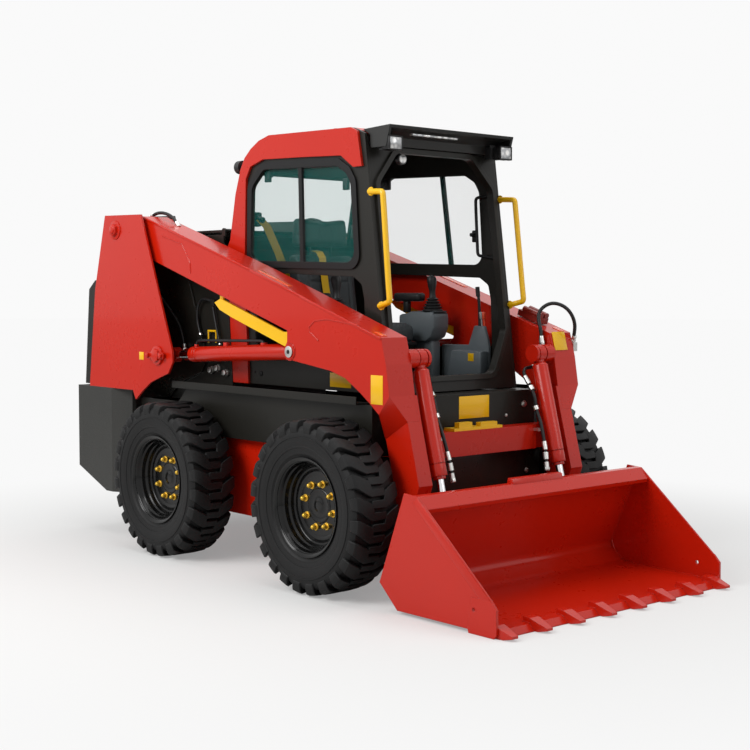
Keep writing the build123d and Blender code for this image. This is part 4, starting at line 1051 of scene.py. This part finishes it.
def cylinder_pair(name, start, end, y, barrel_r, rod_r, length, inner, barrel_eye, rod_eye, proud):
    """Barrels and rods of one pair; start is the barrel's pin and end the rod's pin."""
    barrels, rods, rod_ends = bmesh.new(), bmesh.new(), bmesh.new()
    for side in SIDES:
        a, b = Vector((start[0], side * y, start[1])), Vector((end[0], side * y, end[1]))
        span = (b - a).length
        run = (b - a) / span
        first = barrel_eye[0] + 0.006
        add_turned(barrels, a, b, [
            (first, 0), (first, barrel_r * 0.72), (first + 0.010, barrel_r - 0.001), (first + 0.012, barrel_r),
            (length - 0.038, barrel_r), (length - 0.037, barrel_r + proud), (length - 0.003, barrel_r + proud),
            (length, barrel_r - 0.001), (length, barrel_r - 0.009), (length + 0.012, barrel_r - 0.009),
            (length + 0.014, barrel_r - 0.011), (length + 0.014, rod_r + 0.0015), (first + 0.012, rod_r + 0.0015),
            (first + 0.012, 0)])
        add_eye(barrels, a, *barrel_eye, EYE_HALF)
        add_bar(barrels, a + run * (barrel_eye[0] - 0.006), a + run * (first + 0.004), 0.024, barrel_r * 0.70, 40)
        ring = length - 0.060
        add_bar(barrels, a + run * ring, a + run * (ring + 0.006), barrel_r + proud, sides=64, ease=0.0005)
        add_bar(rods, a + run * inner, b - run * (rod_eye[0] - 0.004), rod_r, sides=64)
        add_eye(rod_ends, b, *rod_eye, EYE_HALF)
        add_bar(rod_ends, b - run * (rod_eye[0] + 0.022), b - run * (rod_eye[0] - 0.006), rod_r + 0.001,
                rod_r + 0.004, 48)
    piece(f"{name}_barrels_turned", barrels, red_paint, f"{name}_barrels", 30, [f"{name}_barrels"])
    piece(f"{name}_rods_ground", rods, rod_chrome, f"{name}_rods", 30, [f"{name}_rods"])
    piece(f"{name}_rod_eyes", rod_ends, red_paint, f"{name}_rods", 30, [f"{name}_rods"])


# length is the barrel's and inner the rod's hidden end, both from the barrel's pin; each
# eye is (radius, bore), and the gland stands proud of the barrel by the last value
LIFT_Y = 0.5485
cylinder_pair("lift", LIFT_BARREL_PIN, LIFT_ROD_PIN, LIFT_Y, barrel_r=0.039, rod_r=0.022, length=0.920, inner=0.095,
              barrel_eye=(0.044, 0.0265), rod_eye=(0.040, 0.0260), proud=0.0015)
cylinder_pair("tilt", (0.837, 1.058), (1.0167, 0.3767), 0.395, barrel_r=0.0375, rod_r=0.0175, length=0.534,
              inner=0.150, barrel_eye=(0.042, 0.0235), rod_eye=(0.025, 0.0160), proud=0.0)
PIPE = in_plane(LIFT_Y, [(-0.690, 1.062), (-0.690, 1.085), (-0.670, 1.098), (-0.620, 1.101), (-0.300, 1.108),
                         (-0.180, 1.111), (-0.120, 1.113), (-0.105, 1.100), (-0.105, 1.080)])
line_piece("lift_barrel_pipes", pair(0.0075, PIPE), hose_rubber, "lift_barrels")
ports = bmesh.new()
for side in SIDES:
    y = side * LIFT_Y
    add_bar(ports, (-0.690, y, 1.055), (-0.690, y, 1.078), 0.013, sides=6, ease=0.001)
    add_bar(ports, (-0.105, y, 1.085), (-0.105, y, 1.104), 0.017, sides=32, ease=0.002)
    add_block(ports, (-0.435, y - 0.012, 1.071), (-0.405, y + 0.012, 1.096), 0.002)
piece("lift_barrel_ports", ports, red_paint, "lift_barrels")

# ---------------------------------------------------------------- bucket
# A shell rolled from plate on its coupler, between side plates with a strip along
# their sloping edge, and a straight cutting edge with eight welded teeth.
dress(red_paint, "bucket_coupler", "bucket_sides", "cutting_edge")
rolled = bmesh.new()
add_plate(rolled, [(1.176, 0.513), (1.202, 0.510), (1.250, 0.461), (1.240, 0.442), (1.196, 0.492), (1.176, 0.495),
                   (1.147, 0.415), (1.0335, 0.145), (1.027, 0.129), (1.027, 0.116), (1.031, 0.108), (1.0365, 0.100),
                   (1.046, 0.092), (1.085, 0.059), (1.097, 0.049), (1.112, 0.0445), (1.158, 0.039), (1.600, 0.030),
                   (1.600, 0.016), (1.158, 0.027), (1.090, 0.037), (1.036, 0.084), (1.018, 0.105), (1.015, 0.128),
                   (1.138, 0.420), (1.160, 0.505)], -0.733, 0.733)
add_plate(rolled, [(1.163, 0.506), (1.170, 0.535), (1.198, 0.533), (1.205, 0.508), (1.176, 0.512)], -0.165, 0.165,
          0.002)
piece("bucket_shell_rolled", rolled, red_paint, "bucket", 34, ["bucket_shell"])
CORNER_SEAM = [(1.200, 0.490), (1.150, 0.420), (1.030, 0.135), (1.048, 0.093), (1.100, 0.050), (1.160, 0.040),
               (1.598, 0.031)]
strips = bmesh.new()
for side in SIDES:
    add_plate(strips, [(1.205, 0.505), (1.626, 0.146), (1.594, 0.122), (1.172, 0.482)], *span(side, 0.7405, 0.7448),
              0.0012)
    add_weld(strips, in_plane(side * 0.7320, CORNER_SEAM), 0.0035)
# a bead down each side of every tooth
TEETH, TOOTH_PITCH, HALF_TOOTH = 8, 0.2019, 0.026
for k in range(TEETH):
    for side in SIDES:
        y = (k - (TEETH - 1) / 2) * TOOTH_PITCH + side * HALF_TOOTH
        add_weld(strips, [(1.604, y, 0.031), (1.640, y, 0.029)], 0.003)
piece("bucket_strips", strips, red_paint, "bucket")
